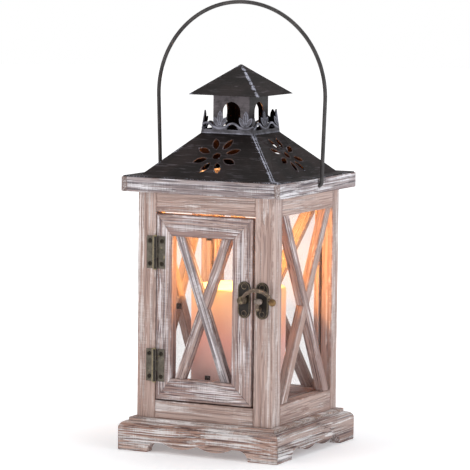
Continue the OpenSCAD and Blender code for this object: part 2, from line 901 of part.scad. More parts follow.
// One side of the wire: a straight leg down from the bow, an elbow and the end in the lid.
// A bead just proud of the wire joins each stretch to the next.
module bail_side() {
    bead_r = wire_r + 0.04;
    leg_top_x = bow_r * cos(leg_tilt);
    leg_top_z = bow_z - bow_r * sin(leg_tilt);
    leg_end_z = bail_z + elbow_r * (1 - sin(leg_tilt));
    leg_len = (leg_top_z - leg_end_z) / cos(leg_tilt);
    elbow_x = leg_top_x - leg_len * sin(leg_tilt) - elbow_r * cos(leg_tilt);
    union() {
        translate([leg_top_x, 0, leg_top_z]) rotate([0, 180 + leg_tilt, 0]) union() {
            cylinder(h = leg_len, r = wire_r, $fn = ROUND);
            sphere(r = bead_r, $fn = ROUND);
            translate([0, 0, leg_len]) sphere(r = bead_r, $fn = ROUND);
        }
        translate([elbow_x, 0, bail_z + elbow_r]) rotate([90, 0, 0]) rotate([0, 0, -90])
            rotate_extrude(angle = 90 - leg_tilt, $fn = ROUND)
            translate([elbow_r, 0]) circle(r = wire_r, $fn = 32);
        translate([bail_end_x, 0, bail_z]) rotate([0, 90, 0])
            cylinder(h = elbow_x - bail_end_x, r = wire_r, $fn = ROUND);
        translate([elbow_x, 0, bail_z]) sphere(r = bead_r, $fn = ROUND);
    }
}

module bail() {
    color(IRON) union() {
        translate([0, 0, bow_z]) rotate([90, 0, 0]) rotate([0, 0, -leg_tilt])
            rotate_extrude(angle = 180 + 2 * leg_tilt, $fn = 2 * FINE)
            translate([bow_r, 0]) circle(r = wire_r, $fn = 32);
        bail_side();
        mirror([1, 0, 0]) bail_side();
    }
}

// ---------- candle ----------

wick_r = 1;
wick_h = 9;
wick_sink = 20;
pool_r = 30;
pool_d = 4;

module candle() {
    color("navajowhite") difference() {
        post_at(0, 0, candle_d / 2, floor_z, floor_z + candle_h);
        post_at(0, 0, pool_r, floor_z + candle_h - pool_d, floor_z + candle_h + CUT);
        post_at(0, 0, wick_r, floor_z + candle_h - wick_sink, floor_z + candle_h);
    }
}

module wick() {
    color("saddlebrown") post_at(0, 0, wick_r, floor_z + candle_h - wick_sink,
                                 floor_z + candle_h - pool_d + wick_h);
}

base_front();
base_back();
base_left();
base_right();
floor_board();
post_front_left();
post_front_right();
post_back_left();
post_back_right();
top_rail_front();
top_rail_back();
top_rail_left();
top_rail_right();
sill_front();
sill_back();
sill_left();
sill_right();
bar_left_outer();
bar_left_inner();
bar_right_outer();
bar_right_inner();
bar_back_outer();
bar_back_inner();
pane_left();
pane_right();
pane_back();
door_stile_hinge();
door_stile_latch();
door_rail_top();
door_rail_bottom();
door_bar_outer();
door_bar_inner();
door_pane();
pane_clips();
clip_screws();
hinge_upper_post_leaf();
hinge_lower_post_leaf();
hinge_upper_door_leaf();
hinge_lower_door_leaf();
hinge_pins();
frame_screws();
door_screws();
latch_plate();
latch_rivet();
latch_hook();
catch_plate();
lid_panel();
lid_edge_left();
lid_edge_right();
lid_screws();
floor_screws();
roof_skirt();
crown();
turret();
cap();
bail();
candle();
wick();
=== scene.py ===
import math
import random

import bmesh
import bpy
from mathutils import Matrix, Vector


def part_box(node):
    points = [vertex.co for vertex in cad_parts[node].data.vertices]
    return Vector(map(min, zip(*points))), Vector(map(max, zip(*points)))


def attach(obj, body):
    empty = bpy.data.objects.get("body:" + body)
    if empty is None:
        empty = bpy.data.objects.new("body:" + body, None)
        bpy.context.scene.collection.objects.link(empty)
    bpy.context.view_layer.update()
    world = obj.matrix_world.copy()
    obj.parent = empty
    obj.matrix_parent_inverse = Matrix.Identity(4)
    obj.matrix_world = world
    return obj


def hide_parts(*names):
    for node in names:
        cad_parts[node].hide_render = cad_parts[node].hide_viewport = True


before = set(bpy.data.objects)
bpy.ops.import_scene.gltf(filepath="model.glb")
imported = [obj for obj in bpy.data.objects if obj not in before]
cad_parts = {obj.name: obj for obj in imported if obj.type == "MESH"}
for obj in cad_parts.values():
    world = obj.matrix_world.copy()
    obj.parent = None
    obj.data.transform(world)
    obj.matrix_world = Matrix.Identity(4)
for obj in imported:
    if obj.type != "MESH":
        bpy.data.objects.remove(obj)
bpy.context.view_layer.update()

# ---------- whitewashed boards ----------
# Posts, rails, sills, crossed bars, door frame, base boards and lid are planed softwood, glued and
# screwed. Their edges are eased with sandpaper, then a thin white wash is brushed on along the grain
# and rubbed back, so that pinkish-brown wood and darker grain lines show through it.


class Wire:
    """One output of a shader node. Python's operators and node() build on from it."""

    def __init__(self, tree, socket=None):
        self.tree = tree
        self.socket = socket

    def node(self, kind, inputs=None, out=0, stops=(), **settings):
        """Adds a node: its settings are set first, then the values or links of its inputs."""
        made = self.tree.nodes.new("ShaderNode" + kind)
        for name, value in settings.items():
            setattr(made, name, value)
        while stops and len(made.color_ramp.elements) < len(stops):
            made.color_ramp.elements.new(1.0)
        for element, (place, colour) in zip(made.color_ramp.elements if stops else (), stops):
            element.position = place
            element.color = colour
        for name, value in (inputs or {}).items():
            if isinstance(value, Wire):
                self.tree.links.new(value.socket, made.inputs[name])
            else:
                made.inputs[name].default_value = value
        return Wire(self.tree, made.outputs[out]) if made.outputs else None

    def join(self, operation, first, second):
        """A Math node on numbers, or a Vector Math node where either side is a vector."""
        pair = [first, second]
        if any(isinstance(side, Wire) and side.socket.type == "VECTOR" for side in pair):
            pair = [(side,) * 3 if isinstance(side, (int, float)) else side for side in pair]
            return self.node("VectorMath", dict(enumerate(pair)), operation=operation)
        return self.node("Math", dict(enumerate(pair)), operation=operation)

    def __add__(self, other):
        return self.join("ADD", self, other)

    def __radd__(self, other):
        return self.join("ADD", other, self)

    def __sub__(self, other):
        return self.join("SUBTRACT", self, other)

    def __rsub__(self, other):
        return self.join("SUBTRACT", other, self)

    def __mul__(self, other):
        return self.join("MULTIPLY", self, other)

    def __rmul__(self, other):
        return self.join("MULTIPLY", other, self)

    def __abs__(self):
        return self.join("ABSOLUTE", self, 0.0)

    def least(self, other):
        return self.join("MINIMUM", self, other)

    def most(self, other):
        return self.join("MAXIMUM", self, other)

    def parts(self):
        """The three numbers of a vector."""
        split = self.node("SeparateXYZ", {0: self}).socket.node
        return [Wire(self.tree, output) for output in split.outputs]


def noise(at, scale, detail=3.0, roughness=0.55):
    """Soft random patches; scale is how many fit in a metre."""
    return at.node("TexNoise", {"Vector": at, "Scale": scale, "Detail": detail, "Roughness": roughness})


def rise(value, low, high):
    """0 below low, 1 above high, and smooth between them."""
    return value.node("MapRange", {"Value": value, "From Min": low, "From Max": high},
                      interpolation_type="SMOOTHSTEP")


def blend(share, first, second):
    """A colour that goes from first to second as share goes from 0 to 1."""
    return share.node("Mix", {0: share, 6: first, 7: second}, out=2, data_type="RGBA")


def bump(height, depth):
    """A surface normal for a height that runs from 0 to 1, depth metres high."""
    return height.node("Bump", {"Height": height, "Distance": depth})


def tint(red, green, blue):
    """A colour from its three screen values, 0 to 255."""
    return (*[((c / 255 + 0.055) / 1.055) ** 2.4 if c > 10 else c / 255 / 12.92
              for c in (red, green, blue)], 1.0)


def finish_named(name, coat):
    """A material whose Principled shader takes the inputs that coat() returns."""
    made = bpy.data.materials.new(name)
    made.use_nodes = True
    made.node_tree.nodes.clear()
    start = Wire(made.node_tree)
    start.node("OutputMaterial", {"Surface": start.node("BsdfPrincipled", coat(start))})
    return made


SANDED_EDGE = tint(128, 100, 90)
END_GRAIN = tint(150, 128, 116)


def whitewash(bare, light, grain_line, wash, grey, cover, strong):
    """Wood with the grain along a board's own first axis.

    cover is how much white is left on it, and strong is how far the dark lines stand out."""
    def coat(start):
        at = start.node("Attribute", out="Vector", attribute_name="board_at")
        half = start.node("Attribute", out="Vector", attribute_name="board_half")
        place = at + start.node("Attribute", out="Vector", attribute_name="board_seed")
        sway = (noise(place * (0.2, 1.0, 1.0), 45.0, 2.0) - 0.5) * 0.006
        run = place * (0.012, 1.0, 1.0) + sway
        bands = noise(run, 150.0, 3.0)
        lines = noise(run + (0.0, 0.4, 0.0), 980.0, 3.0, 0.65)
        streaks = noise(run + (0.7, 0.0, 0.3), 720.0, 4.0, 0.7)
        ticks = noise(place * (1.0, 0.1, 0.1), 1000.0, 2.0)
        patches = noise(place * (0.35, 1.0, 1.0), 60.0, 3.0)
        dark_line = rise(lines, 0.50, 0.64)
        wood = blend(rise(bands, 0.36, 0.64), bare, light)
        wood = blend(dark_line * strong, wood, grain_line)
        brushed = streaks + (patches - 0.5) * 0.5 + (ticks - 0.5) * 0.13
        left_white = rise(brushed, 0.56 - cover, 0.68 - cover)
        colour = blend(left_white * 0.9, wood, wash)
        late_line = rise(noise(run + (0.0, 0.9, 0.0), 620.0, 3.0, 0.6), 0.54, 0.64)
        colour = blend(late_line * strong * 0.7, colour, grey)
        away_x, away_y, away_z = (half - abs(at)).parts()
        to_edge = away_x.least(away_y).most(away_x.most(away_y).least(away_z))
        worn = (1.0 - rise(to_edge, 0.0003, 0.0016)) * rise(noise(place, 160.0, 3.0), 0.40, 0.60)
        colour = blend(worn * 0.5, colour, SANDED_EDGE)
        end_grain = 1.0 - rise(away_x, 0.0002, 0.0006)
        colour = blend(end_grain * rise(lines, 0.25, 0.6) * 0.5, colour, END_GRAIN)
        height = streaks * 0.5 + left_white * 0.25 - dark_line * 0.5
        return {"Base Color": colour, "Roughness": 0.86 - left_white * 0.16,
                "Normal": bump(height, 0.0006), "Specular IOR Level": 0.3}
    return coat


body_wash = finish_named("whitewashed_body_wood", whitewash(
    bare=tint(178, 150, 140), light=tint(200, 176, 167), grain_line=tint(116, 92, 86),
    wash=tint(230, 219, 216), grey=tint(138, 122, 124), cover=0.03, strong=0.5))
door_wash = finish_named("whitewashed_door_wood", whitewash(
    bare=tint(160, 134, 128), light=tint(190, 166, 158), grain_line=tint(90, 74, 77),
    wash=tint(236, 227, 228), grey=tint(104, 92, 100), cover=0.045, strong=0.82))
base_wash = finish_named("whitewashed_base_wood", whitewash(
    bare=tint(176, 140, 126), light=tint(206, 178, 166), grain_line=tint(84, 60, 56),
    wash=tint(244, 239, 238), grey=tint(104, 90, 94), cover=0.10, strong=0.86))
side_wash = finish_named("whitewashed_base_side_wood", whitewash(
    bare=tint(154, 128, 120), light=tint(184, 162, 154), grain_line=tint(70, 52, 50),
    wash=tint(246, 242, 242), grey=tint(92, 80, 86), cover=0.10, strong=0.9))
grey_wash = finish_named("whitewashed_grey_wood", whitewash(
    bare=tint(146, 132, 132), light=tint(176, 164, 164), grain_line=tint(76, 70, 76),
    wash=tint(240, 236, 240), grey=tint(98, 92, 102), cover=0.07, strong=0.85))

JOIN_DISTANCE = 0.000002
EASED_EDGE = 0.0004
ALONG_X = Vector((1, 0, 0))
ALONG_Y = Vector((0, 1, 0))
ALONG_Z = Vector((0, 0, 1))


def clean_copy(node):
    """A CAD node's mesh with its loose triangles joined up and its flat faces made whole."""
    cut = bmesh.new()
    cut.from_mesh(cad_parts[node].data)
    bmesh.ops.remove_doubles(cut, verts=cut.verts, dist=JOIN_DISTANCE)
    bmesh.ops.dissolve_limit(cut, angle_limit=math.radians(0.5), verts=cut.verts, edges=cut.edges)
    return cut


def ease_edges(cut, width, shortest=0.0008, segments=2):
    """Rounds every edge over 30 degrees that is longer than shortest."""
    sharp = [edge for edge in cut.edges if edge.is_manifold
             and edge.calc_face_angle() > math.radians(30) and edge.calc_length() > shortest]
    bmesh.ops.bevel(cut, geom=sharp, offset=width, offset_type="OFFSET", segments=segments,
                    profile=0.5, affect="EDGES", clamp_overlap=False)


def piece_from(cut, name, *materials):
    """Turns worked geometry into a named object."""
    mesh = bpy.data.meshes.new(name)
    cut.to_mesh(mesh)
    cut.free()
    for made in materials:
        mesh.materials.append(made)
    piece = bpy.data.objects.new(name, mesh)
    bpy.context.collection.objects.link(piece)
    return piece


def place_on_body(piece, body, slot, *nodes):
    """Says which body the piece moves with, and the CAD nodes that it stands for; slot is not used."""
    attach(piece, body)
    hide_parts(*nodes)


def paint_node(node, finish):
    """Gives a finish to a CAD node whose own shape is kept."""
    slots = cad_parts[node].data.materials
    slots.clear()
    slots.append(finish)


def lay_grain(piece, along):
    """Stores each point's place in the board, the board's half sizes, and an offset of its own."""
    along = along.normalized()
    depth = min((ALONG_X, ALONG_Y, ALONG_Z), key=lambda axis: abs(axis.dot(along)))
    turn = Matrix((along, depth.cross(along), depth))
    mesh = piece.data
    local = [turn @ vertex.co for vertex in mesh.vertices]
    low = Vector([min(point[i] for point in local) for i in range(3)])
    high = Vector([max(point[i] for point in local) for i in range(3)])
    chance = random.Random(piece.name)
    offset = Vector([chance.uniform(1.0, 9.0) for _ in range(3)])
    values = {"board_at": [point - (low + high) / 2 for point in local],
              "board_half": [(high - low) / 2] * len(local),
              "board_seed": [offset] * len(local)}
    for name, vectors in values.items():
        stored = mesh.attributes.new(name, "FLOAT_VECTOR", "POINT")
        stored.data.foreach_set("vector", [number for vector in vectors for number in vector])


def board(node, along, finish=body_wash, body="lantern", slot="whitewashed_wood"):
    """One wooden piece in the place of its CAD node."""
    cut = clean_copy(node)
    ease_edges(cut, EASED_EDGE)
    piece = piece_from(cut, node + "_board", finish)
    lay_grain(piece, along)
    place_on_body(piece, body, slot, node)


for corner in ("front_left", "front_right", "back_left", "back_right"):
    board("post_" + corner, ALONG_Z)
for side, along in (("front", ALONG_X), ("back", ALONG_X), ("left", ALONG_Y), ("right", ALONG_Y)):
    board("top_rail_" + side, along)
    board("sill_" + side, along)
    board("base_" + side, along, base_wash if along == ALONG_X else side_wash)
board("floor_board", ALONG_X, base_wash)
board("lid_panel", ALONG_X, grey_wash)
for side in ("left", "right"):
    board("lid_edge_" + side, ALONG_Y, grey_wash, slot="pale_wood")

# ---------- crossed bars ----------
# Each window and the door have two slanting bars, halved into each other where they cross. The
# outer bar of each pair is whole in front, falls from left to right as it is seen from outside, and
# has caught more of the grey wash.
BODY_BAR_WIDTH = 0.0102
DOOR_BAR_WIDTH = 0.0082


def slant(node, level, width):
    """The direction of a bar that goes down one way along level."""
    low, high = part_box(node)
    size = high - low
    across = abs(size.dot(level)) - width
    falls = across if node.endswith("outer") else -across
    return level * falls - ALONG_Z * size.z


for side, level in (("right", ALONG_Y), ("left", -ALONG_Y), ("back", -ALONG_X)):
    for layer, finish in (("outer", door_wash), ("inner", body_wash)):
        node = f"bar_{side}_{layer}"
        board(node, slant(node, level, BODY_BAR_WIDTH), finish)
for layer, finish in (("outer", grey_wash), ("inner", door_wash)):
    node = "door_bar_" + layer
    board(node, slant(node, ALONG_X, DOOR_BAR_WIDTH), finish, body="door")

# ---------- door frame ----------
# Two stiles and two rails, mitred and glued at the corners. The joints show as a fine open line
# because the edges were eased before the frame was glued up.
for node, along in (("door_stile_hinge", ALONG_Z), ("door_stile_latch", ALONG_Z),
                    ("door_rail_top", ALONG_X), ("door_rail_bottom", ALONG_X)):
    board(node, along, door_wash, body="door")

# ---------- glass ----------
# Float glass panes, 2 mm thick, slid into grooves in the posts or held behind the door by turn
# clips. They are clear, with a faint haze and the odd wiped smear.


def clear_glass(start):
    """Clear, with a grey haze and vertical smears."""
    at = start.node("TexCoord", out="Object")
    smear = rise(noise(at * (1.0, 1.0, 0.25), 30.0, 4.0), 0.42, 0.75)
    return {"Base Color": blend(smear, tint(124, 113, 110), tint(156, 146, 142)),
            "Roughness": 0.04 + smear * 0.10, "Alpha": 0.14 + smear * 0.05, "IOR": 1.5,
            "Specular IOR Level": 0.25}


glass = finish_named("clear_glass", clear_glass)
for node in ("pane_left", "pane_right", "pane_back", "door_pane"):
    paint_node(node, glass)

# ---------- roof ----------
# The roof is pressed sheet steel, 0.9 mm, painted black-brown and dry-brushed with silver, which
# catches on the folded hips and on the flange. A flower of eight petals is pierced in each slope.
LEVEL_BRUSHING = tint(104, 98, 104)
LONG_STROKES = tint(122, 114, 120)
SILVER = tint(186, 187, 202)


def dark_iron(base, high_light, wear):
    """Blackened sheet with level brush marks; wear(at) is where silver shows, from 0 to 1."""
    def coat(start):
        at = start.node("TexCoord", out="Object")
        brushed = noise(at * (0.05, 0.05, 1.0), 900.0, 4.0, 0.7)
        strokes = noise(at * (0.09, 0.09, 1.0) + (3.0, 0.0, 0.0), 520.0, 3.0, 0.6)
        clouds = noise(at, 45.0, 4.0)
        speckle = noise(at, 900.0, 3.0)
        colour = blend(rise(clouds, 0.35, 0.7), base, high_light)
        colour = blend(rise(brushed, 0.54, 0.70) * 0.34, colour, LEVEL_BRUSHING)
        colour = blend(rise(strokes, 0.62, 0.70) * 0.30, colour, LONG_STROKES)
        silver = rise(wear(at) + (speckle - 0.5) * 1.2 + (brushed - 0.5) * 1.0, 0.45, 0.72)
        colour = blend(silver * 0.85, colour, SILVER)
        return {"Base Color": colour, "Metallic": silver * 0.25, "Specular IOR Level": 0.22,
                "Roughness": 0.6 - clouds * 0.12,
                "Normal": bump(brushed * 0.6 + speckle * 0.3 + silver * 0.4, 0.0003)}
    return coat


def front_hip(at):
    """1 towards the front right corner, where the brush was drawn down hardest."""
    x, y, _ = at.parts()
    return rise(x - y, -0.002, 0.016)


def cap_wear(at):
    """Silver in patches on the cap's hips."""
    x, y, _ = at.parts()
    hip = 1.0 - rise(abs(abs(x) - abs(y)), 0.0004, 0.0050)
    return hip * (0.38 + 0.30 * front_hip(at) + (noise(at, 130.0, 2.0) - 0.5) * 0.6)


def roof_wear(at):
    """A line of silver on each side of the folded hips, brushed out a little way on the slopes."""
    x, y, _ = at.parts()
    away = abs(abs(x) - abs(y))
    line = rise(away, 0.0003, 0.0010) * (1.0 - rise(away, 0.0014, 0.0030))
    broken = 0.34 + 0.40 * front_hip(at) + (noise(at, 150.0, 3.0) - 0.5) * 0.7
    brushed_out = (1.0 - rise(away, 0.0010, 0.0090)) * (0.22 + 0.22 * front_hip(at))
    flange_edge = rise(abs(x).most(abs(y)), 0.0662, 0.0678) * 0.42
    return (line * broken).most(brushed_out).most(flange_edge)


roof_black = finish_named("black_brown_roof_paint", dark_iron(
    tint(19, 12, 11), tint(38, 27, 26), roof_wear))
cap_black = finish_named("black_brown_cap_paint", dark_iron(
    tint(20, 13, 12), tint(38, 28, 27), cap_wear))


def near_black_inside(start):
    """The inner side of the sheet metal, coloured near black."""
    at = start.node("TexCoord", out="Object")
    cloud = noise(at, 120.0, 4.0)
    return {"Base Color": blend(rise(cloud, 0.3, 0.7), tint(7, 3, 3), tint(16, 8, 7)),
            "Roughness": 0.85 - cloud * 0.1, "Specular IOR Level": 0.06,
            "Normal": bump(cloud, 0.0003)}


inner_near_black = finish_named("candle_soot", near_black_inside)


def sheet_piece(node, name, finish, fold, body="lantern", slot="dark_metal", shortest=0.003):
    """A sheet-metal part with its long edges and folds rounded.

    On the lantern's own sheets the faces that look towards the candle's axis are made near black."""
    cut = clean_copy(node)
    ease_edges(cut, fold, shortest, segments=3)
    cut.normal_update()
    for face in cut.faces:
        outward = face.calc_center_median() * Vector((1, 1, 0))
        if body == "lantern" and outward.length > 0 and face.normal.dot(outward.normalized()) < -0.5:
            face.material_index = 1
    piece = piece_from(cut, name, finish, inner_near_black)
    place_on_body(piece, body, slot, node)
    return piece


sheet_piece("roof_skirt", "roof_sheet", roof_black, 0.0003)
sheet_piece("cap", "cap_sheet", cap_black, 0.0003)

# Rolled rims stand up round the petals and the middle hole of each flower, where the punch has
# pushed the metal out. They catch the silver brush.
PETALS = 8
PETAL_LENGTH = 0.0122
PETAL_WIDTH = 0.0056
PETAL_RING = 0.0136
HOLE_RADIUS = 0.0034
RIM_RADIUS = 0.00042
RIM_OUTSIDE = 0.0002
SLOPE_FOOT = 0.058
DECK_HALF = 0.0235
SHEET = 0.0009


def curve_object(name, points, closed):
    """A poly curve through points; each is a place and, if a fourth number is given, a radius."""
    data = bpy.data.curves.new(name, "CURVE")
    data.dimensions = "3D"
    line = data.splines.new("POLY")
    line.points.add(len(points) - 1)
    for point, (x, y, z, *radius) in zip(line.points, points):
        point.co = (x, y, z, 1)
        point.radius = radius[0] if radius else 1.0
    line.use_cyclic_u = closed
    made = bpy.data.objects.new(name, data)
    bpy.context.collection.objects.link(made)
    return made


def new_tree(name, sockets):
    """A Geometry Nodes tree with a geometry input, the named inputs, and a geometry output."""
    tree = bpy.data.node_groups.new(name, "GeometryNodeTree")
    tree.interface.new_socket("Geometry", in_out="INPUT", socket_type="NodeSocketGeometry")
    for socket, kind in sockets.items():
        tree.interface.new_socket(socket, in_out="INPUT", socket_type="NodeSocket" + kind)
    tree.interface.new_socket("Geometry", in_out="OUTPUT", socket_type="NodeSocketGeometry")
    return tree


def geo(tree, kind, inputs=None, **settings):
    """Adds a geometry node; inputs are values, sockets, or nodes whose first output is meant."""
    made = tree.nodes.new(kind)
    for name, value in settings.items():
        setattr(made, name, value)
    for name, value in (inputs or {}).items():
        if isinstance(value, bpy.types.Node):
            value = value.outputs[0]
        if isinstance(value, bpy.types.NodeSocket):
            tree.links.new(value, made.inputs[name])
        else:
            made.inputs[name].default_value = value
    return made


def paint_result(tree, shape, finish):
    """Ends a tree: the shape is made real and given its finish."""
    real = geo(tree, "GeometryNodeRealizeInstances", {"Geometry": shape})
    painted = geo(tree, "GeometryNodeSetMaterial", {"Geometry": real, "Material": finish})
    geo(tree, "NodeGroupOutput", {"Geometry": painted})


def grow(base, tree, values, name):
    """Runs a tree on an object and returns the result as a plain mesh object."""
    grower = base.modifiers.new(tree.name, "NODES")
    grower.node_group = tree
    for item in tree.interface.items_tree:
        if item.item_type == "SOCKET" and item.in_out == "INPUT" and item.name in values:
            grower[item.identifier] = values[item.name]
    base.update_tag()
    depsgraph = bpy.context.evaluated_depsgraph_get()
    mesh = bpy.data.meshes.new_from_object(base.evaluated_get(depsgraph))
    mesh.name = name
    bpy.data.objects.remove(base)
    piece = bpy.data.objects.new(name, mesh)
    bpy.context.collection.objects.link(piece)
    return piece


def wire_tree():
    """A round wire along a curve, whose own radius makes it thicker or thinner."""
    tree = new_tree("round_wire", {"Wire radius": "Float", "Sides": "Int", "Finish": "Material"})
    given = geo(tree, "NodeGroupInput").outputs
    section = geo(tree, "GeometryNodeCurvePrimitiveCircle",
                  {"Resolution": given["Sides"], "Radius": given["Wire radius"]})
    solid = geo(tree, "GeometryNodeCurveToMesh",
                {"Curve": given["Geometry"], "Profile Curve": section,
                 "Scale": geo(tree, "GeometryNodeInputRadius"), "Fill Caps": True})
    paint_result(tree, geo(tree, "GeometryNodeSetShadeSmooth", {"Geometry": solid}), given["Finish"])
    return tree


def turned_copies(tree, count, shape, step, start=0.0):
    """Copies of a shape turned round Z: the first by start, and each next one by a step more."""
    angle = geo(tree, "ShaderNodeMath", {0: geo(tree, "GeometryNodeInputIndex"), 1: step, 2: start},
                operation="MULTIPLY_ADD")
    points = geo(tree, "GeometryNodeMeshLine", {"Count": count, "Offset": (0, 0, 0)})
    return geo(tree, "GeometryNodeInstanceOnPoints",
               {"Points": points, "Instance": shape,
                "Rotation": geo(tree, "ShaderNodeCombineXYZ", {"Z": angle})})


def ring_tree():
    """Copies of the input round a ring, each turned to face outwards, then all four times round Z."""
    tree = new_tree("flower_on_each_slope", {
        "Count": "Int", "Ring radius": "Float", "Start angle": "Float", "Tilt": "Float",
        "Out": "Float", "Up": "Float", "Finish": "Material"})
    given = geo(tree, "NodeGroupInput").outputs
    outward = geo(tree, "ShaderNodeCombineXYZ", {"X": given["Ring radius"]})
    moved = geo(tree, "GeometryNodeTransform",
                {"Geometry": given["Geometry"], "Translation": outward})
    step = geo(tree, "ShaderNodeMath", {0: 2 * math.pi, 1: given["Count"]}, operation="DIVIDE")
    ring = turned_copies(tree, given["Count"], moved, step, given["Start angle"])
    flat = geo(tree, "GeometryNodeRealizeInstances", {"Geometry": ring})
    lean = geo(tree, "ShaderNodeCombineXYZ", {"X": given["Tilt"]})
    lift = geo(tree, "ShaderNodeCombineXYZ", {"Y": given["Out"], "Z": given["Up"]})
    on_slope = geo(tree, "GeometryNodeTransform",
                   {"Geometry": flat, "Rotation": lean, "Translation": lift})
    paint_result(tree, turned_copies(tree, 4, on_slope, math.pi / 2), given["Finish"])
    return tree


ROUND_WIRE = wire_tree()
FLOWER_RINGS = ring_tree()


def petal_outline(length, width, steps=9):
    """A pointed petal between two arcs, lying along X."""
    bend = ((length / 2) ** 2 + (width / 2) ** 2) / width
    reach = math.asin(length / 2 / bend)
    arc = [(bend * math.sin(reach * (2 * i / steps - 1)),
            bend * math.cos(reach * (2 * i / steps - 1)) - bend + width / 2, 0.0) for i in range(steps)]
    return arc + [(-x, -y, z) for x, y, z in arc]


def circle_outline(radius, steps=20):
    """Points round a circle, lying flat."""
    return [(radius * math.cos(2 * math.pi * i / steps), radius * math.sin(2 * math.pi * i / steps), 0.0)
            for i in range(steps)]


deck_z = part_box("turret")[0].z
slope_foot_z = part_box("roof_skirt")[0].z + SHEET
slope_tilt = math.atan2(deck_z - slope_foot_z, SLOPE_FOOT - DECK_HALF)
flower_out = -(SLOPE_FOOT + DECK_HALF) / 2
flower_up = (slope_foot_z + deck_z) / 2

rim_silver = finish_named("brushed_silver_rims", dark_iron(
    tint(52, 43, 43), tint(84, 74, 76), lambda at: rise(noise(at, 300.0), 0.40, 0.70) * 0.5))


def flower_rims(outline, count, radius, name):
    """A rolled rim along an outline, count of them in a ring, on all four slopes."""
    rim = grow(curve_object(name + "_line", outline, True), ROUND_WIRE,
               {"Wire radius": RIM_RADIUS, "Sides": 8, "Finish": rim_silver}, name + "_rim")
    return grow(rim, FLOWER_RINGS,
                {"Count": count, "Ring radius": radius, "Start angle": math.pi / PETALS,
                 "Tilt": slope_tilt, "Out": flower_out, "Up": flower_up, "Finish": rim_silver}, name)


petal_rims = flower_rims(
    petal_outline(PETAL_LENGTH + 2 * RIM_OUTSIDE, PETAL_WIDTH + 2 * RIM_OUTSIDE),
    PETALS, PETAL_RING, "petal_rims")
hole_rims = flower_rims(circle_outline(HOLE_RADIUS + RIM_OUTSIDE), 1, 0.0, "flower_centre_rims")
for piece in (petal_rims, hole_rims):
    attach(piece, "lantern")

# ---------- crown and turret ----------
# The crown is a strip of cast-look pewter fretwork, tulips on a wavy band, bent round the deck. The
# turret is a plain sheet tube with an arched vent in each side. Both are given painted shade on their
# right sides, heaviest on the turret.
TURRET_HALF = 0.0162
# Colour of the painted shade on the right sides of the crown, its relief and the turret.
RIGHT_SIDE_SHADE = tint(24, 20, 21)
SHADE_FADE = 0.0004


def pewter(light, dark, shaded_from, shade_share=0.5):
    """Grey tin finish with level rub marks, and painted shade on its right side, where x passes a bound.
    """
    def coat(start):
        at = start.node("TexCoord", out="Object")
        rub = noise(at * (0.15, 0.15, 1.0), 800.0, 4.0, 0.7)
        cloud = noise(at, 160.0, 4.0)
        tone = rise(cloud + (rub - 0.5) * 0.6, 0.34, 0.66)
        x, _, _ = at.parts()
        colour = blend(tone, dark, light)
        # Painted shade: the colour darkens on the right side, where x passes the given bound.
        colour = blend(rise(x, shaded_from - SHADE_FADE, shaded_from) * shade_share, colour, RIGHT_SIDE_SHADE)
        return {"Base Color": colour, "Metallic": 0.2, "Roughness": 0.56 - tone * 0.12,
                "Normal": bump(rub * 0.5 + cloud * 0.5, 0.0002)}
    return coat


crown_pewter = finish_named("waxed_pewter_crown", pewter(
    tint(100, 98, 107), tint(62, 59, 64), shaded_from=0.021))
relief_pewter = finish_named("rubbed_pewter_relief", pewter(
    tint(150, 150, 163), tint(98, 96, 105), shaded_from=0.0235))
turret_pewter = finish_named("waxed_pewter_turret", pewter(
    tint(102, 94, 98), tint(72, 65, 68), shaded_from=TURRET_HALF - 0.0001, shade_share=0.94))

sheet_piece("turret", "turret_tube", turret_pewter, 0.0004, slot="pewter_metal")
sheet_piece("crown", "crown_fretwork", crown_pewter, 0.0002, slot="pewter_metal")

# The pattern stands up on the strip in relief: a ribbon that runs in waves over the arches, a bead
# along the foot, and a fine outline and vein on each tulip leaf.
CROWN_PITCH = 0.0226
CROWN_PHASES = (0.004, -0.0129, -0.0066, -0.0129)
CROWN_LEAN = math.radians(6.5)
CROWN_HEIGHT = 0.0186
ARCH_MIDDLE = 0.0021
ARCH_RIBBON = 0.0064
WAVE_TURN = math.radians(50)
RIBBON = 0.0009
RIBBON_SUNK = 0.0004
BEAD = 0.0007
LEAF_LINE = 0.00032
LEAF_END_INSET = 0.0009
LEAF_SIDE_INSET = 0.0008
MIDDLE_LEAF_FOOT = 0.0064
MIDDLE_LEAF_WIDTH = 0.0048
VEIN_FOOT = 0.0084
VEIN_TOP = 0.0158
SIDE_LEAF_FOOT = 0.0058
SIDE_LEAF_OUT = 0.0008
SIDE_LEAF_LENGTH = 0.009
SIDE_LEAF_WIDTH = 0.004
SIDE_LEAF_TURN = math.radians(32)
crown_half = -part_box("crown")[0].y


def wave_height(along):
    """Height of the ribbon's middle at a distance from the middle of an arch."""
    along = abs((along + CROWN_PITCH / 2) % CROWN_PITCH - CROWN_PITCH / 2)
    if along < ARCH_RIBBON * math.cos(WAVE_TURN):
        return ARCH_MIDDLE + math.sqrt(ARCH_RIBBON ** 2 - along ** 2)
    dip = CROWN_PITCH / 2 / math.cos(WAVE_TURN) - ARCH_RIBBON
    dip_middle = ARCH_MIDDLE + CROWN_PITCH / 2 * math.tan(WAVE_TURN)
    return dip_middle - math.sqrt(dip ** 2 - (CROWN_PITCH / 2 - along) ** 2)


def on_strip(side, along, up, sunk):
    """The place of a point of the flat strip, sunk below its outer face, on one side of the crown."""
    edge = crown_half - up * math.tan(CROWN_LEAN) - LEAF_LINE
    along = max(-edge, min(edge, along))
    point = Vector((along, -crown_half + sunk + up * math.sin(CROWN_LEAN),
                    deck_z + up * math.cos(CROWN_LEAN)))
    return Matrix.Rotation(side * math.pi / 2, 3, "Z") @ point


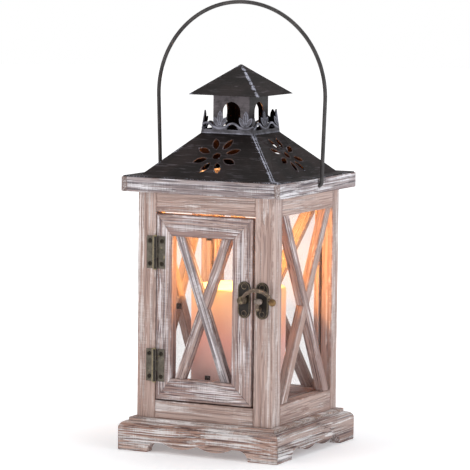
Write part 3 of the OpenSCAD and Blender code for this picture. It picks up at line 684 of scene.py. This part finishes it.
def strip_line(points, side, radius, closed, sunk=0.0):
    """A wire along flat points of the strip."""
    placed = [on_strip(side, along, up, sunk) for along, up in points]
    return grow(curve_object("strip_line", placed, closed), ROUND_WIRE,
                {"Wire radius": radius, "Sides": 8, "Finish": relief_pewter}, "strip_relief")


def leaf_outline(foot, length, width, turn):
    """A leaf's outline from its foot, turned from upright, a little inside its cut edge."""
    line = petal_outline(length - LEAF_END_INSET, width - LEAF_SIDE_INSET, steps=7)
    direction = math.pi / 2 - turn
    middle = (foot[0] + length / 2 * math.cos(direction), foot[1] + length / 2 * math.sin(direction))
    return [(middle[0] + x * math.cos(direction) - y * math.sin(direction),
             middle[1] + x * math.sin(direction) + y * math.cos(direction)) for x, y, _ in line]


def crown_relief():
    """The whole raised pattern, side by side: front, right, back, left."""
    relief = []
    steps = 56
    for side, phase in enumerate(CROWN_PHASES):
        run = [crown_half * 0.96 * (2 * i / steps - 1) for i in range(steps + 1)]
        wave = [(along, wave_height(along - phase)) for along in run]
        relief.append(strip_line(wave, side, RIBBON, False, RIBBON_SUNK))
        relief.append(strip_line([(along, BEAD) for along in run], side, BEAD, False, BEAD / 3))
        for k in range(-2, 3):
            tulip_x = phase + (k + 0.5) * CROWN_PITCH
            if abs(tulip_x) > crown_half:
                continue
            leaves = [leaf_outline((tulip_x, MIDDLE_LEAF_FOOT), CROWN_HEIGHT - MIDDLE_LEAF_FOOT,
                                   MIDDLE_LEAF_WIDTH, 0.0)]
            leaves += [leaf_outline((tulip_x + hand * SIDE_LEAF_OUT, SIDE_LEAF_FOOT), SIDE_LEAF_LENGTH,
                                    SIDE_LEAF_WIDTH, hand * SIDE_LEAF_TURN) for hand in (-1, 1)]
            relief += [strip_line(leaf, side, LEAF_LINE, True) for leaf in leaves]
            vein = [(tulip_x, VEIN_FOOT), (tulip_x, VEIN_TOP)]
            relief.append(strip_line(vein, side, LEAF_LINE, False))
    return joined("crown_relief", relief)


def joined(name, parts):
    """Several objects made into one piece."""
    whole = bmesh.new()
    finishes = []
    for part in parts:
        start = len(whole.faces)
        whole.from_mesh(part.data)
        whole.faces.ensure_lookup_table()
        if part.data.materials[0] not in finishes:
            finishes.append(part.data.materials[0])
        for face in whole.faces[start:]:
            face.material_index = finishes.index(part.data.materials[0])
        bpy.data.objects.remove(part)
    return piece_from(whole, name, *finishes)


relief = crown_relief()
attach(relief, "lantern")

# ---------- wire handle ----------
# One length of black-painted steel wire, bent to a bow with two straight legs whose ends turn in
# through the sides of the lid, so the handle swings on them.
WIRE = 0.00155
ELBOW = 0.003
LEG_FOOT_X = 0.0714
INNER_END_X = 0.060


def handle_line():
    """The middle of the wire, from one inner end over the bow to the other."""
    low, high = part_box("bail")
    pivot_z = low.z + WIRE
    bow = high.x - WIRE
    bow_z = high.z - WIRE - bow
    tilt = math.atan((bow - LEG_FOOT_X) / (bow_z - pivot_z))
    elbow_x = LEG_FOOT_X - ELBOW
    steps_elbow = 8
    steps_leg = 6
    steps_bow = 36
    half = [(INNER_END_X, pivot_z), ((INNER_END_X + elbow_x) / 2, pivot_z)]
    for i in range(steps_elbow + 1):
        turn = (math.pi / 2 - tilt) * i / steps_elbow
        half.append((elbow_x + ELBOW * math.sin(turn), pivot_z + ELBOW * (1 - math.cos(turn))))
    foot_x, foot_z = half[-1]
    top_x = bow * math.cos(tilt)
    top_z = bow_z - bow * math.sin(tilt)
    for i in range(1, steps_leg):
        share = i / steps_leg
        half.append((foot_x + (top_x - foot_x) * share, foot_z + (top_z - foot_z) * share))
    for i in range(steps_bow + 1):
        turn = -tilt + (math.pi / 2 + tilt) * i / steps_bow
        half.append((bow * math.cos(turn), bow_z + bow * math.sin(turn)))
    return [(x, 0.0, z) for x, z in half] + [(-x, 0.0, z) for x, z in reversed(half[:-1])]


def black_wire(start):
    """Satin black paint on drawn wire, with a few grey chips."""
    at = start.node("TexCoord", out="Object")
    drawn = noise(at, 90.0, 3.0, 0.5)
    chips = rise(noise(at, 420.0, 2.0), 0.70, 0.76)
    colour = blend(rise(drawn, 0.3, 0.75), tint(54, 51, 51), tint(78, 74, 73))
    return {"Base Color": blend(chips, colour, tint(120, 112, 106)), "Metallic": 0.4,
            "Roughness": 0.42 + drawn * 0.2, "Normal": bump(noise(at, 700.0, 2.0), 0.0001)}


wire_black = finish_named("black_painted_wire", black_wire)
handle = grow(curve_object("handle_line", handle_line(), False), ROUND_WIRE,
              {"Wire radius": WIRE, "Sides": 20, "Finish": wire_black}, "handle_wire")
place_on_body(handle, "handle", "dark_metal", "bail")

# ---------- hinges ----------
# Two small butt hinges of stamped brass, darkened to an olive bronze, with a painted highlight
# down the left of each knuckle and painted shade down its right. A headed pin runs through each barrel.
# Dark patina in the hollows of the latch plates, also used as painted shade on the hinge barrels.
PATINA_AND_SHADE_COLOUR = tint(24, 16, 10)


def old_bronze(dark, light, rub_at=0.55, rub=tint(160, 140, 104), wear_and_light=None):
    """Darkened brass, blotchy, brighter where rubbed; a mask function can lighten and darken places."""
    def coat(start):
        at = start.node("TexCoord", out="Object")
        blotch = noise(at, 240.0, 4.0, 0.6)
        fine = noise(at, 1400.0, 3.0)
        rubbed = rise(noise(at + (0.3, 0.0, 0.0), 380.0, 3.0), rub_at, rub_at + 0.2)
        colour = blend(rise(blotch, 0.3, 0.7), dark, light)
        colour = blend(rubbed * 0.6, colour, rub)
        if wear_and_light:
            # On the hinges these masks are a painted highlight and painted shade; on the latch plates,
            # rubbed wear and patina.
            worn, patina_and_shade = wear_and_light(at)
            colour = blend(worn * rise(fine, 0.3, 0.55) * 0.85, colour, rub)
            colour = blend(patina_and_shade * 0.92, colour, PATINA_AND_SHADE_COLOUR)
        return {"Base Color": colour, "Metallic": 0.4, "Roughness": 0.48 - rubbed * 0.12,
                "Normal": bump(fine * 0.6 + blotch * 0.4, 0.0002)}
    return coat


LEAF_THICK = 0.001
front_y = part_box("post_front_left")[0].y
pin_low, pin_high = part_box("hinge_pins")
pin_x = (pin_low.x + pin_high.x) / 2


def hinge_highlight_and_shade(at):
    """Painted highlight down the left of the barrel, and painted shade in a strip down its right."""
    x, y, _ = at.parts()
    barrel = rise(front_y - y, LEAF_THICK + 0.0001, LEAF_THICK + 0.0006)
    # Painted light: the barrel's left is lightened and a strip down its right is darkened, as on a lit
    # cylinder.
    barrel_highlight = barrel * (1.0 - rise(x - pin_x, -0.0006, -0.0001))
    barrel_shade = rise(x - pin_x, 0.0002, 0.0006) * (1.0 - rise(x - pin_x, 0.0013, 0.0018))
    return barrel_highlight, barrel_shade


hinge_bronze = finish_named("olive_bronze_hinges", old_bronze(
    tint(74, 68, 58), tint(108, 101, 90), 0.58, tint(170, 154, 118), hinge_highlight_and_shade))
barrel_brass = finish_named("rubbed_brass_pins", old_bronze(
    tint(120, 108, 78), tint(168, 154, 112), 0.4))

LEAF_EDGE = 0.00018
for height in ("upper", "lower"):
    for side, body in (("post", "lantern"), ("door", "door")):
        node = f"hinge_{height}_{side}_leaf"
        sheet_piece(node, node + "_plate", hinge_bronze, LEAF_EDGE, body, "bronze")
paint_node("hinge_pins", barrel_brass)

# ---------- screws of the hinges and latch ----------
# Small countersunk cross-head wood screws, blackened with the hardware. Their heads sit level with
# the plates, each left at its own angle by the screwdriver.
PLATE_THICK = 0.0012
HINGE_SCREW_HEAD = 0.0017
PLATE_SCREW_HEAD = 0.0019
SUNK = 0.0003
FIELD = 0.00085


def closed_skin(rows, round_sides=True, round_ends=True):
    """A skin over rings of points with as many points each, closed by a face at either end."""
    cut = bmesh.new()
    rows = [[cut.verts.new(point) for point in row] for row in rows]
    for near, far in zip(rows, rows[1:]):
        for i in range(len(near)):
            j = (i + 1) % len(near)
            cut.faces.new((near[i], near[j], far[j], far[i]))
    cut.faces.new(rows[0])
    cut.faces.new(rows[-1])
    bmesh.ops.recalc_face_normals(cut, faces=cut.faces)
    for face in cut.faces:
        face.smooth = round_sides if len(face.verts) == 4 else round_ends
    return cut


def screw_head(name, radius, finish):
    """A domed head with a pressed cross, facing -Y, and a short stub of shank behind it."""
    sides = 24
    arm_long = 0.62
    arm_inner = 0.24
    arm_spread = 0.3
    rows = [[(x, radius * height, z) for x, z, _ in circle_outline(radius * share, sides)]
            for share, height in ((0.45, 1.1), (0.45, 0.55), (1.0, 0.0), (0.94, -0.08), (0.66, -0.16))]
    cross = []
    for i in range(sides):
        angle = 2 * math.pi * i / sides
        off_arm = math.pi / 4 - abs((angle % (math.pi / 2)) - math.pi / 4)
        arm = radius * (arm_long if off_arm < arm_spread else arm_inner)
        cross.append((arm * math.cos(angle), arm * math.sin(angle)))
    rows.append([(x, -radius * 0.17, z) for x, z in cross])
    rows.append([(x * 0.9, radius * 0.25, z * 0.9) for x, z in cross])
    return piece_from(closed_skin(rows, False, False), name, finish)


def screw_tree():
    """The head on every point of the input, each turned by its own random angle."""
    tree = new_tree("screws_at_points", {"Head": "Object", "Seed": "Int", "Finish": "Material"})
    given = geo(tree, "NodeGroupInput").outputs
    head = geo(tree, "GeometryNodeObjectInfo", {"Object": given["Head"]})
    turn = geo(tree, "FunctionNodeRandomValue", {2: 0.0, 3: math.pi, "Seed": given["Seed"]},
               data_type="FLOAT")
    spin = geo(tree, "ShaderNodeCombineXYZ", {"Y": turn.outputs[1]})
    heads = geo(tree, "GeometryNodeInstanceOnPoints",
                {"Points": given["Geometry"], "Instance": head.outputs["Geometry"],
                 "Rotation": spin})
    paint_result(tree, heads, given["Finish"])
    return tree


SCREWS = screw_tree()


def screws(name, places, radius, seed, finish):
    """Screw heads at the places, in one piece."""
    points = bpy.data.meshes.new(name + "_places")
    points.from_pydata(places, [], [])
    base = bpy.data.objects.new(name + "_places", points)
    bpy.context.collection.objects.link(base)
    head = screw_head(name + "_head", radius, finish)
    piece = grow(base, SCREWS, {"Head": head, "Seed": seed, "Finish": finish}, name)
    bpy.data.objects.remove(head)
    return piece


HINGE_SCREW_OUT = 0.0052
HINGE_SCREW_UP = 0.009
PLATE_SCREW_UP = 0.0105


def hinge_screw_places(side):
    """Where the screws of both hinges stand, on the post's side (-1) or the door's side (1)."""
    places = []
    for height in ("upper", "lower"):
        low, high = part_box(f"hinge_{height}_post_leaf")
        middle = (low.z + high.z) / 2
        for step in (-1, 1):
            places.append((pin_x + side * HINGE_SCREW_OUT, front_y - LEAF_THICK + SUNK,
                           middle + step * HINGE_SCREW_UP))
    return places


plate_low, plate_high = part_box("latch_plate")
plate_x = (plate_low.x + plate_high.x) / 2
latch_z = (plate_low.z + plate_high.z) / 2
plate_width = plate_high.x - plate_low.x
plate_height = plate_high.z - plate_low.z
catch_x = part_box("catch_plate")[0].x + plate_width / 2


def plate_screw_places(x):
    """Where the two screws of the plate at x stand."""
    return [(x, front_y - FIELD, latch_z + step * PLATE_SCREW_UP) for step in (-1, 1)]


screw_bronze = finish_named("black_bronze_screws", old_bronze(tint(26, 19, 13), tint(60, 50, 36), 0.62))
post_screws = joined("post_hardware_screws", [
    screws("post_hinge_screws", hinge_screw_places(-1), HINGE_SCREW_HEAD, 3, screw_bronze),
    screws("catch_screws", plate_screw_places(catch_x), PLATE_SCREW_HEAD, 5, screw_bronze)])
place_on_body(post_screws, "lantern", "bronze", "frame_screws")
door_screws = joined("door_hardware_screws", [
    screws("door_hinge_screws", hinge_screw_places(1), HINGE_SCREW_HEAD, 7, screw_bronze),
    screws("latch_screws", plate_screw_places(plate_x), PLATE_SCREW_HEAD, 9, screw_bronze)])
place_on_body(door_screws, "door", "bronze", "door_screws")

# ---------- latch ----------
# Two cast stadium plates with a raised border, one on the door and one on the post. A curved hook
# turns on a rivet on the door plate and drops its ball end behind the catch's tongue.
BORDER = 0.0011
POLE = 0.00005


def plate_touched(at):
    """The raised border of a plate is rubbed, and its sunk field stays black."""
    _, y, _ = at.parts()
    border = rise(front_y - y, 0.00100, 0.00115)
    return border, (1.0 - border) * 0.35


plate_bronze = finish_named("black_bronze_latch", old_bronze(
    tint(26, 20, 16), tint(46, 38, 32), 0.64, tint(118, 103, 82), plate_touched))
clip_bronze = finish_named("black_bronze_clips", old_bronze(tint(10, 5, 4), tint(24, 12, 10), 0.75))
hook_bronze = finish_named("rubbed_bronze_hook", old_bronze(
    tint(82, 67, 58), tint(124, 105, 90), 0.5, tint(184, 165, 134)))
rivet_bronze = finish_named("worn_bronze_rivet", old_bronze(
    tint(62, 50, 38), tint(104, 88, 66), 0.5, tint(176, 158, 124)))
knob_bronze = finish_named("worn_bronze_knob", old_bronze(
    tint(96, 84, 76), tint(140, 126, 118), 0.45, tint(178, 164, 152)))
ball_brass = finish_named("rubbed_brass_ball", old_bronze(
    tint(84, 58, 34), tint(128, 96, 56), 0.5, tint(196, 166, 112)))


def stadium_plate(name, x, finish):
    """A plate with rounded ends: a raised border round a flat, slightly sunk field."""
    radius = plate_width / 2
    straight = (plate_height - plate_width) / 2
    turns = 20
    rows = []
    for inset, height in ((0.0, 0.0), (0.0, 0.0007), (0.0003, 0.0011), (0.0007, PLATE_THICK),
                          (BORDER, 0.0011), (BORDER + 0.0003, 0.0008), (radius - 0.0008, 0.00085)):
        row = []
        for i in range(2 * turns + 2):
            upper = i <= turns
            step = i if upper else i - turns - 1
            angle = math.pi * step / turns + (0 if upper else math.pi)
            row.append((x + (radius - inset) * math.cos(angle), front_y - height,
                        latch_z + (straight if upper else -straight)
                        + (radius - inset) * math.sin(angle)))
        rows.append(row)
    return piece_from(closed_skin(rows, round_ends=False), name, finish)


def turned(name, outline, x, z, finish, sides=28):
    """A shape turned about a line along Y: outline is pairs of radius and depth, front to back."""
    rows = [[(x + out, y, z + up) for out, up, _ in circle_outline(radius, sides)]
            for radius, y in outline]
    return piece_from(closed_skin(rows), name, finish)


def dome(radius, y_front, y_back, steps=5):
    """Outline of a rounded head between two depths."""
    rounded = [(radius * math.sin(math.pi / 2 * i / steps) + POLE,
                y_front + (y_back - y_front) * 0.6 * (1 - math.cos(math.pi / 2 * i / steps)))
               for i in range(steps + 1)]
    return rounded + [(radius, y_back)]


def ball(name, centre, radius, finish):
    """A ball turned about a line along Y, with small closed poles."""
    steps = 14
    outline = [(max(radius * math.sin(math.pi * i / steps), POLE),
                centre.y - radius * math.cos(math.pi * i / steps)) for i in range(steps + 1)]
    return turned(name, outline, centre.x, centre.z, finish)


RING_WIRE = 0.00028
RING_CLEAR = 0.0002


def screw_rings(name, x, finish):
    """A raised ring round each screw of the plate at x."""
    rings = []
    for step in (-1, 1):
        line = [(x + px, front_y - FIELD, latch_z + step * PLATE_SCREW_UP + pz)
                for px, pz, _ in circle_outline(PLATE_SCREW_HEAD + RING_CLEAR, 24)]
        rings.append(grow(curve_object(name, line, True), ROUND_WIRE,
                          {"Wire radius": RING_WIRE, "Sides": 8, "Finish": finish}, name))
    return rings


hook_low, hook_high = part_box("latch_hook")
HOOK_EYE = 0.0031
BALL = (hook_high.y - hook_low.y) / 2
HOOK_ARM = 0.0015
HOOK_OUT = 0.0058
hook_y = front_y - HOOK_OUT
hook_reach = hook_high.x - BALL - plate_x
hook_rise = hook_high.z - HOOK_ARM - latch_z

latch_parts = [stadium_plate("latch_field", plate_x, plate_bronze),
               *screw_rings("latch_screw_rings", plate_x, hook_bronze),
               turned("latch_collar", [(0.0014, hook_y + 0.0017), (0.0025, hook_y + 0.00185),
                                       (0.0028, front_y - 0.0016), (0.0034, front_y - 0.0009)],
                      plate_x, latch_z, plate_bronze)]
place_on_body(joined("latch_door_plate", latch_parts), "door", "bronze", "latch_plate")

RIVET_HEAD = 0.0027
RIVET_SHANK = 0.0015
RIVET_BEHIND = 0.006
eye_front = hook_y - HOOK_ARM
rivet_outline = dome(RIVET_HEAD, eye_front - 0.0014, eye_front - 0.0001)
rivet_outline += [(RIVET_SHANK, eye_front - 0.00005), (RIVET_SHANK, front_y + RIVET_BEHIND)]
rivet = turned("latch_rivet_head", rivet_outline, plate_x, latch_z, rivet_bronze)
place_on_body(rivet, "door", "bronze", "latch_rivet")


ARM_END = 0.0008
ARM_SWELL = 0.0008
ARM_THICK = 0.0012


def hook_arm():
    """A crescent arm from the eye to the ball: widest at the top of its arch, with raised rims."""
    arch = ((hook_reach / 2) ** 2 + hook_rise ** 2) / (2 * hook_rise)
    spread = math.asin(hook_reach / 2 / arch)
    steps = 28
    half_section = ((0.0, 0.62), (0.46, 0.72), (0.62, 1.0), (0.86, 1.0), (1.0, 0.45), (0.9, -0.8),
                    (0.0, -1.0))
    section = half_section + tuple((-out, front) for out, front in reversed(half_section[1:-1]))
    rows = []
    for i in range(steps + 1):
        turn = -spread + 2 * spread * i / steps
        wide = ARM_END + ARM_SWELL * math.sin(math.pi * min(1.0, i / steps * 1.02)) ** 0.8
        rows.append([(plate_x + hook_reach / 2 + (arch + wide * out) * math.sin(turn),
                      hook_y - ARM_THICK * front,
                      latch_z + hook_rise - arch + (arch + wide * out) * math.cos(turn))
                     for out, front in section])
    return piece_from(closed_skin(rows, round_ends=False), "hook_arm", hook_bronze)


EYE_HOLE = 0.00165
EYE_FLAT = 0.0026
eye = turned("hook_eye", [(EYE_HOLE, hook_y - HOOK_ARM), (EYE_FLAT, hook_y - HOOK_ARM),
                          (HOOK_EYE, hook_y - HOOK_ARM * 0.5), (HOOK_EYE, hook_y + HOOK_ARM * 0.5),
                          (EYE_FLAT, hook_y + HOOK_ARM), (EYE_HOLE, hook_y + HOOK_ARM)],
             plate_x, latch_z, hook_bronze)
end_ball = ball("hook_ball", Vector((plate_x + hook_reach, hook_y, latch_z)), BALL, ball_brass)
place_on_body(joined("latch_hook_arm", [hook_arm(), eye, end_ball]), "hook", "bronze", "latch_hook")

TONGUE = 0.0015
KNOB = 0.0024
KNOB_HALF = 0.0012
KNOB_LEFT = 0.0009
tongue_x = catch_x - 2 * KNOB_LEFT
tongue_foot_z = latch_z - 0.0065
tongue_points = [(tongue_x, front_y - 0.0006, tongue_foot_z, 1.25),
                 (tongue_x, front_y - 0.0020, tongue_foot_z, 1.05),
                 (tongue_x, hook_y + 0.0016, tongue_foot_z, 1.0),
                 (tongue_x, hook_y + 0.0005, tongue_foot_z + 0.0004, 1.0),
                 (tongue_x, hook_y, tongue_foot_z + 0.0014, 1.0),
                 (tongue_x + 0.0003, hook_y, tongue_foot_z + 0.0035, 1.05),
                 (tongue_x + 0.0007, hook_y, latch_z - 0.0012, 1.2)]
tongue = grow(curve_object("tongue_line", tongue_points, False), ROUND_WIRE,
              {"Wire radius": TONGUE, "Sides": 14, "Finish": hook_bronze}, "catch_tongue")


def knob_line():
    """A short level bar whose ends are drawn in to round caps."""
    knob_x = catch_x - KNOB_LEFT
    steps = 6
    points = []
    for side in (-1, 1):
        for i in range(steps + 1):
            turn = math.pi / 2 * (i if side > 0 else steps - i) / steps
            points.append((knob_x + side * (KNOB_HALF + KNOB * math.sin(turn)), hook_y, latch_z,
                           max(math.cos(turn), 0.04)))
    return points


knob = grow(curve_object("knob_line", knob_line(), False), ROUND_WIRE,
            {"Wire radius": KNOB, "Sides": 20, "Finish": knob_bronze}, "catch_knob")
catch = joined("catch_post_plate", [stadium_plate("catch_field", catch_x, plate_bronze), tongue, knob,
                                    *screw_rings("catch_screw_rings", catch_x, hook_bronze)])
place_on_body(catch, "lantern", "bronze", "catch_plate")

# ---------- clips and hidden screws ----------
# Four stamped turn clips hold the door's pane from behind. Zinc-plated wood screws fasten the
# lid to the posts from above, and the posts to the floor from below.


def zinc(start):
    """Dull plated steel."""
    at = start.node("TexCoord", out="Object")
    dull = noise(at, 500.0, 4.0)
    return {"Base Color": blend(dull, tint(120, 118, 112), tint(176, 174, 168)), "Metallic": 0.85,
            "Roughness": 0.35 + dull * 0.25, "Normal": bump(dull, 0.0001)}


zinc_plate = finish_named("dull_zinc_plate", zinc)
for node, finish in (("pane_clips", clip_bronze), ("clip_screws", clip_bronze),
                     ("lid_screws", zinc_plate), ("floor_screws", zinc_plate)):
    paint_node(node, finish)

# ---------- candle ----------
# A cast pillar candle of ivory wax, 76 mm across, with a softened shoulder and a shallow melted
# dish round a bent cotton wick. Lit, the wax glows yellow at the top and fades down the side.
candle_low, candle_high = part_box("candle")
candle_radius = (candle_high.x - candle_low.x) / 2
candle_height = candle_high.z - candle_low.z
DISH_DEPTH = 0.004
DISH_RADIUS = 0.030
DISH_EDGE = 0.0008
RIM_WIDTH = 0.0055
RIM_DROP = 0.0003
SHOULDER = 0.0032
FOOT_ROUND = 0.0015
SIDE_HOLLOW = 0.0003
UNEVEN = 0.00022
CANDLE_POLE = 0.0001


def candle_outline():
    """Radius and height pairs, from the middle of the foot up the side and down into the dish."""
    outline = [(CANDLE_POLE, 0.0), (candle_radius - FOOT_ROUND, 0.0), (candle_radius, FOOT_ROUND)]
    side = candle_height - SHOULDER - FOOT_ROUND
    for i in range(1, 13):
        outline.append((candle_radius - SIDE_HOLLOW * math.sin(math.pi * i / 12),
                        FOOT_ROUND + side * i / 12))
    for i in range(1, 7):
        turn = math.pi / 2 * i / 6
        outline.append((candle_radius - SHOULDER + SHOULDER * math.cos(turn),
                        candle_height - SHOULDER + SHOULDER * math.sin(turn)))
    outline.append((candle_radius - RIM_WIDTH, candle_height - RIM_DROP))
    for i in range(8):
        turn = math.pi / 2 * i / 8
        outline.append((DISH_RADIUS * math.cos(turn),
                        candle_height - DISH_EDGE - (DISH_DEPTH - DISH_EDGE) * math.sin(turn)))
    return outline + [(CANDLE_POLE, candle_height - DISH_DEPTH)]


def candle_mesh():
    """The outline turned about the wick, with a slightly uneven side and a softened top."""
    sides = 72
    waves = 4
    chance = random.Random(11)
    swell = [chance.uniform(0.0, 2 * math.pi) for _ in range(waves)]
    rows = []
    for radius, height in candle_outline():
        inner = min(1.0, radius / DISH_RADIUS)
        top = max(0.0, (height - 0.9 * candle_height) / (0.1 * candle_height))
        row = []
        for i in range(sides):
            angle = 2 * math.pi * i / sides
            uneven = abs(sum(math.sin((k + 2) * angle + swell[k]) for k in range(waves)))
            sunk = uneven * UNEVEN * inner
            row.append(((radius - sunk / 2) * math.cos(angle), (radius - sunk / 2) * math.sin(angle),
                        candle_low.z + height - sunk * top))
        rows.append(row)
    return closed_skin(rows)


def lit_wax(start):
    """Ivory wax that glows yellow at the rim, orange below it, and hardly at all at the foot."""
    at = start.node("TexCoord", out="Object")
    _, _, z = at.parts()
    mottle = noise(at, 60.0, 4.0)
    flow = noise(at * (1.0, 1.0, 0.5), 26.0, 2.0)
    height = (z - candle_low.z) * (1.0 / candle_height) + (mottle - 0.5) * 0.10 + (flow - 0.5) * 0.22
    glow = height.node("ValToRGB", {0: height}, stops=[
        (0.0, (0.16, 0.11, 0.11, 1)), (0.34, (0.24, 0.12, 0.11, 1)), (0.60, (0.70, 0.20, 0.14, 1)),
        (0.80, (0.95, 0.34, 0.10, 1)), (0.95, (0.95, 0.44, 0.08, 1)), (1.0, (0.80, 0.60, 0.08, 1))])
    colour = blend(mottle, tint(226, 202, 194), tint(238, 218, 210))
    return {"Base Color": colour, "Roughness": 0.42 + mottle * 0.2, "Emission Color": glow,
            "Emission Strength": 0.7, "Normal": bump(noise(at, 220.0, 3.0), 0.0004)}


wax = finish_named("ivory_wax", lit_wax)
place_on_body(piece_from(candle_mesh(), "candle_wax", wax), "lantern", "wax", "candle")

# The wick is a braided cotton cord, charred at the top, with the flame standing on it.
WICK = 0.001
wick_low, wick_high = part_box("wick")
dish_z = candle_high.z - DISH_DEPTH
wick_line = [(0.0, 0.0, wick_low.z, 1.0), (0.0, 0.0, dish_z, 1.0), (0.0002, 0.0, dish_z + 0.003, 1.0),
             (0.0006, 0.0001, dish_z + 0.006, 0.85), (0.0012, 0.0002, wick_high.z - 0.0005, 0.7)]


def charred_cotton(start):
    """Braided cotton, burnt black above the wax."""
    at = start.node("TexCoord", out="Object")
    _, _, z = at.parts()
    braid = start.node("TexWave", {"Vector": at, "Scale": 260.0, "Distortion": 1.0},
                       bands_direction="Z")
    burnt = rise(z, dish_z + 0.001, dish_z + 0.004)
    return {"Base Color": blend(burnt, tint(214, 200, 178), tint(28, 22, 20)), "Roughness": 0.9,
            "Normal": bump(braid, 0.0002)}


wick = grow(curve_object("wick_line", wick_line, False), ROUND_WIRE,
            {"Wire radius": WICK, "Sides": 12, "Finish": finish_named("charred_cotton", charred_cotton)},
            "wick_cord")
place_on_body(wick, "lantern", "cord", "wick")

FLAME_HEIGHT = 0.026
FLAME_RADIUS = 0.0046
FLAME_LEAN = 0.0008
flame_foot = dish_z + 0.0045


def flame_light(start):
    """Blue at the foot, then orange and pale yellow."""
    at = start.node("TexCoord", out="Object")
    _, _, z = at.parts()
    share = (z - flame_foot) * (1.0 / FLAME_HEIGHT)
    colour = share.node("ValToRGB", {0: share}, stops=[
        (0.0, (0.25, 0.22, 0.60, 1)), (0.14, (1.0, 0.42, 0.10, 1)), (0.45, (1.0, 0.72, 0.30, 1)),
        (1.0, (1.0, 0.55, 0.14, 1))])
    return {"Base Color": (0.0, 0.0, 0.0, 1.0), "Roughness": 0.9, "Emission Color": colour,
            "Emission Strength": 6.0}


def flame_mesh():
    """A drop, widest low down and drawn out to a point, leaning a little to the right."""
    steps = 16
    rows = []
    for k in range(steps + 1):
        share = k / steps
        wide = FLAME_RADIUS * (math.sin(math.pi * share ** 0.62) ** 0.9 if 0 < share < 1 else 0.02)
        rows.append([(FLAME_LEAN * share + x, y, flame_foot + FLAME_HEIGHT * share)
                     for x, y, _ in circle_outline(wide)])
    return closed_skin(rows)


flame = piece_from(flame_mesh(), "flame", finish_named("flame_light", flame_light))
flame.visible_glossy = False
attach(flame, "lantern")

# ---------- floor, lights and camera ----------
# A white table top under even studio light, with a softbox to the left of the camera, a cooler one
# to the right and one above. A small warm lamp stands in for the light that the flame throws.


def table_white(start):
    """White laminate with a painted glow, dim by the lantern and brighter out into the studio's white.
    """
    at = start.node("TexCoord", out="Object")
    x, y, _ = at.parts()
    squared = x * x + y * y
    # Painted light: the glow is weak near the lantern, as a painted shadow round it, and strong further
    # out.
    far = rise(squared.join("POWER", squared, 0.5), 0.08, 0.34)
    return {"Base Color": blend(noise(at, 3.0, 2.0), tint(248, 248, 250), tint(252, 252, 252)),
            "Roughness": 0.6, "Specular IOR Level": 0.2, "Emission Strength": 1.0,
            "Emission Color": blend(far, (0.22, 0.22, 0.225, 1.0), (0.72, 0.72, 0.72, 1.0))}


TABLE_RADIUS = 6.0
flat = bmesh.new()
bmesh.ops.create_circle(flat, cap_ends=True, radius=TABLE_RADIUS, segments=96)
floor = piece_from(flat, "table_top", finish_named("white_table", table_white))


def area_light(name, place, aim, size, power, colour):
    """A square softbox that faces its aim."""
    data = bpy.data.lights.new(name, "AREA")
    data.size = size
    data.energy = power
    data.color = colour
    lamp = bpy.data.objects.new(name, data)
    lamp.location = place
    lamp.rotation_mode = "QUATERNION"
    lamp.rotation_quaternion = (Vector(aim) - Vector(place)).to_track_quat("-Z", "Y")
    bpy.context.collection.objects.link(lamp)


MIDDLE = (0.0, 0.0, 0.15)
area_light("left_softbox", (-0.9, -1.5, 1.1), MIDDLE, 0.9, 8.0, (1.0, 0.97, 0.96))
area_light("right_softbox", (1.6, -0.3, 0.8), MIDDLE, 0.9, 9.0, (0.84, 0.93, 1.0))
area_light("top_softbox", (0.0, 0.3, 1.8), MIDDLE, 1.2, 11.5, (1.0, 1.0, 1.0))

GLOW_ABOVE = 0.004
glow = bpy.data.lights.new("flame_glow", "POINT")
glow.energy = 0.86
glow.color = (1.0, 0.46, 0.13)
glow.shadow_soft_size = 0.006
glow_lamp = bpy.data.objects.new("flame_glow", glow)
glow_lamp.location = (0.0, 0.0, flame_foot + FLAME_HEIGHT + GLOW_ABOVE)
glow_lamp.visible_glossy = False
bpy.context.collection.objects.link(glow_lamp)

ROOM_LIGHT = 0.42
world = bpy.data.worlds.new("studio")
world.use_nodes = True
sky = Wire(world.node_tree)
seen = sky.node("LightPath", out="Is Camera Ray") * (1.0 - ROOM_LIGHT) + ROOM_LIGHT
white = sky.node("Background", {"Color": (1.0, 1.0, 1.0, 1.0), "Strength": seen})
world.node_tree.links.new(white.socket, world.node_tree.nodes["World Output"].inputs["Surface"])
bpy.context.scene.world = world
bpy.context.scene.view_settings.view_transform = "Standard"

camera_up = Vector((-0.0565825, 0.0881404, 0.9944997))
camera_back = Vector((0.4491448, -0.8873621, 0.1041993))
camera_place = Vector((1.10025, -2.18145, 0.42360))
camera_right = camera_up.cross(camera_back)
lens = bpy.data.cameras.new("studio_camera")
lens.sensor_width = 36.0
lens.lens = 237.45
lens.clip_end = 50.0
camera = bpy.data.objects.new("studio_camera", lens)
turn = Matrix((camera_right, camera_up, camera_back)).transposed()
camera.matrix_world = Matrix.Translation(camera_place) @ turn.to_4x4()
bpy.context.collection.objects.link(camera)
bpy.context.scene.camera = camera
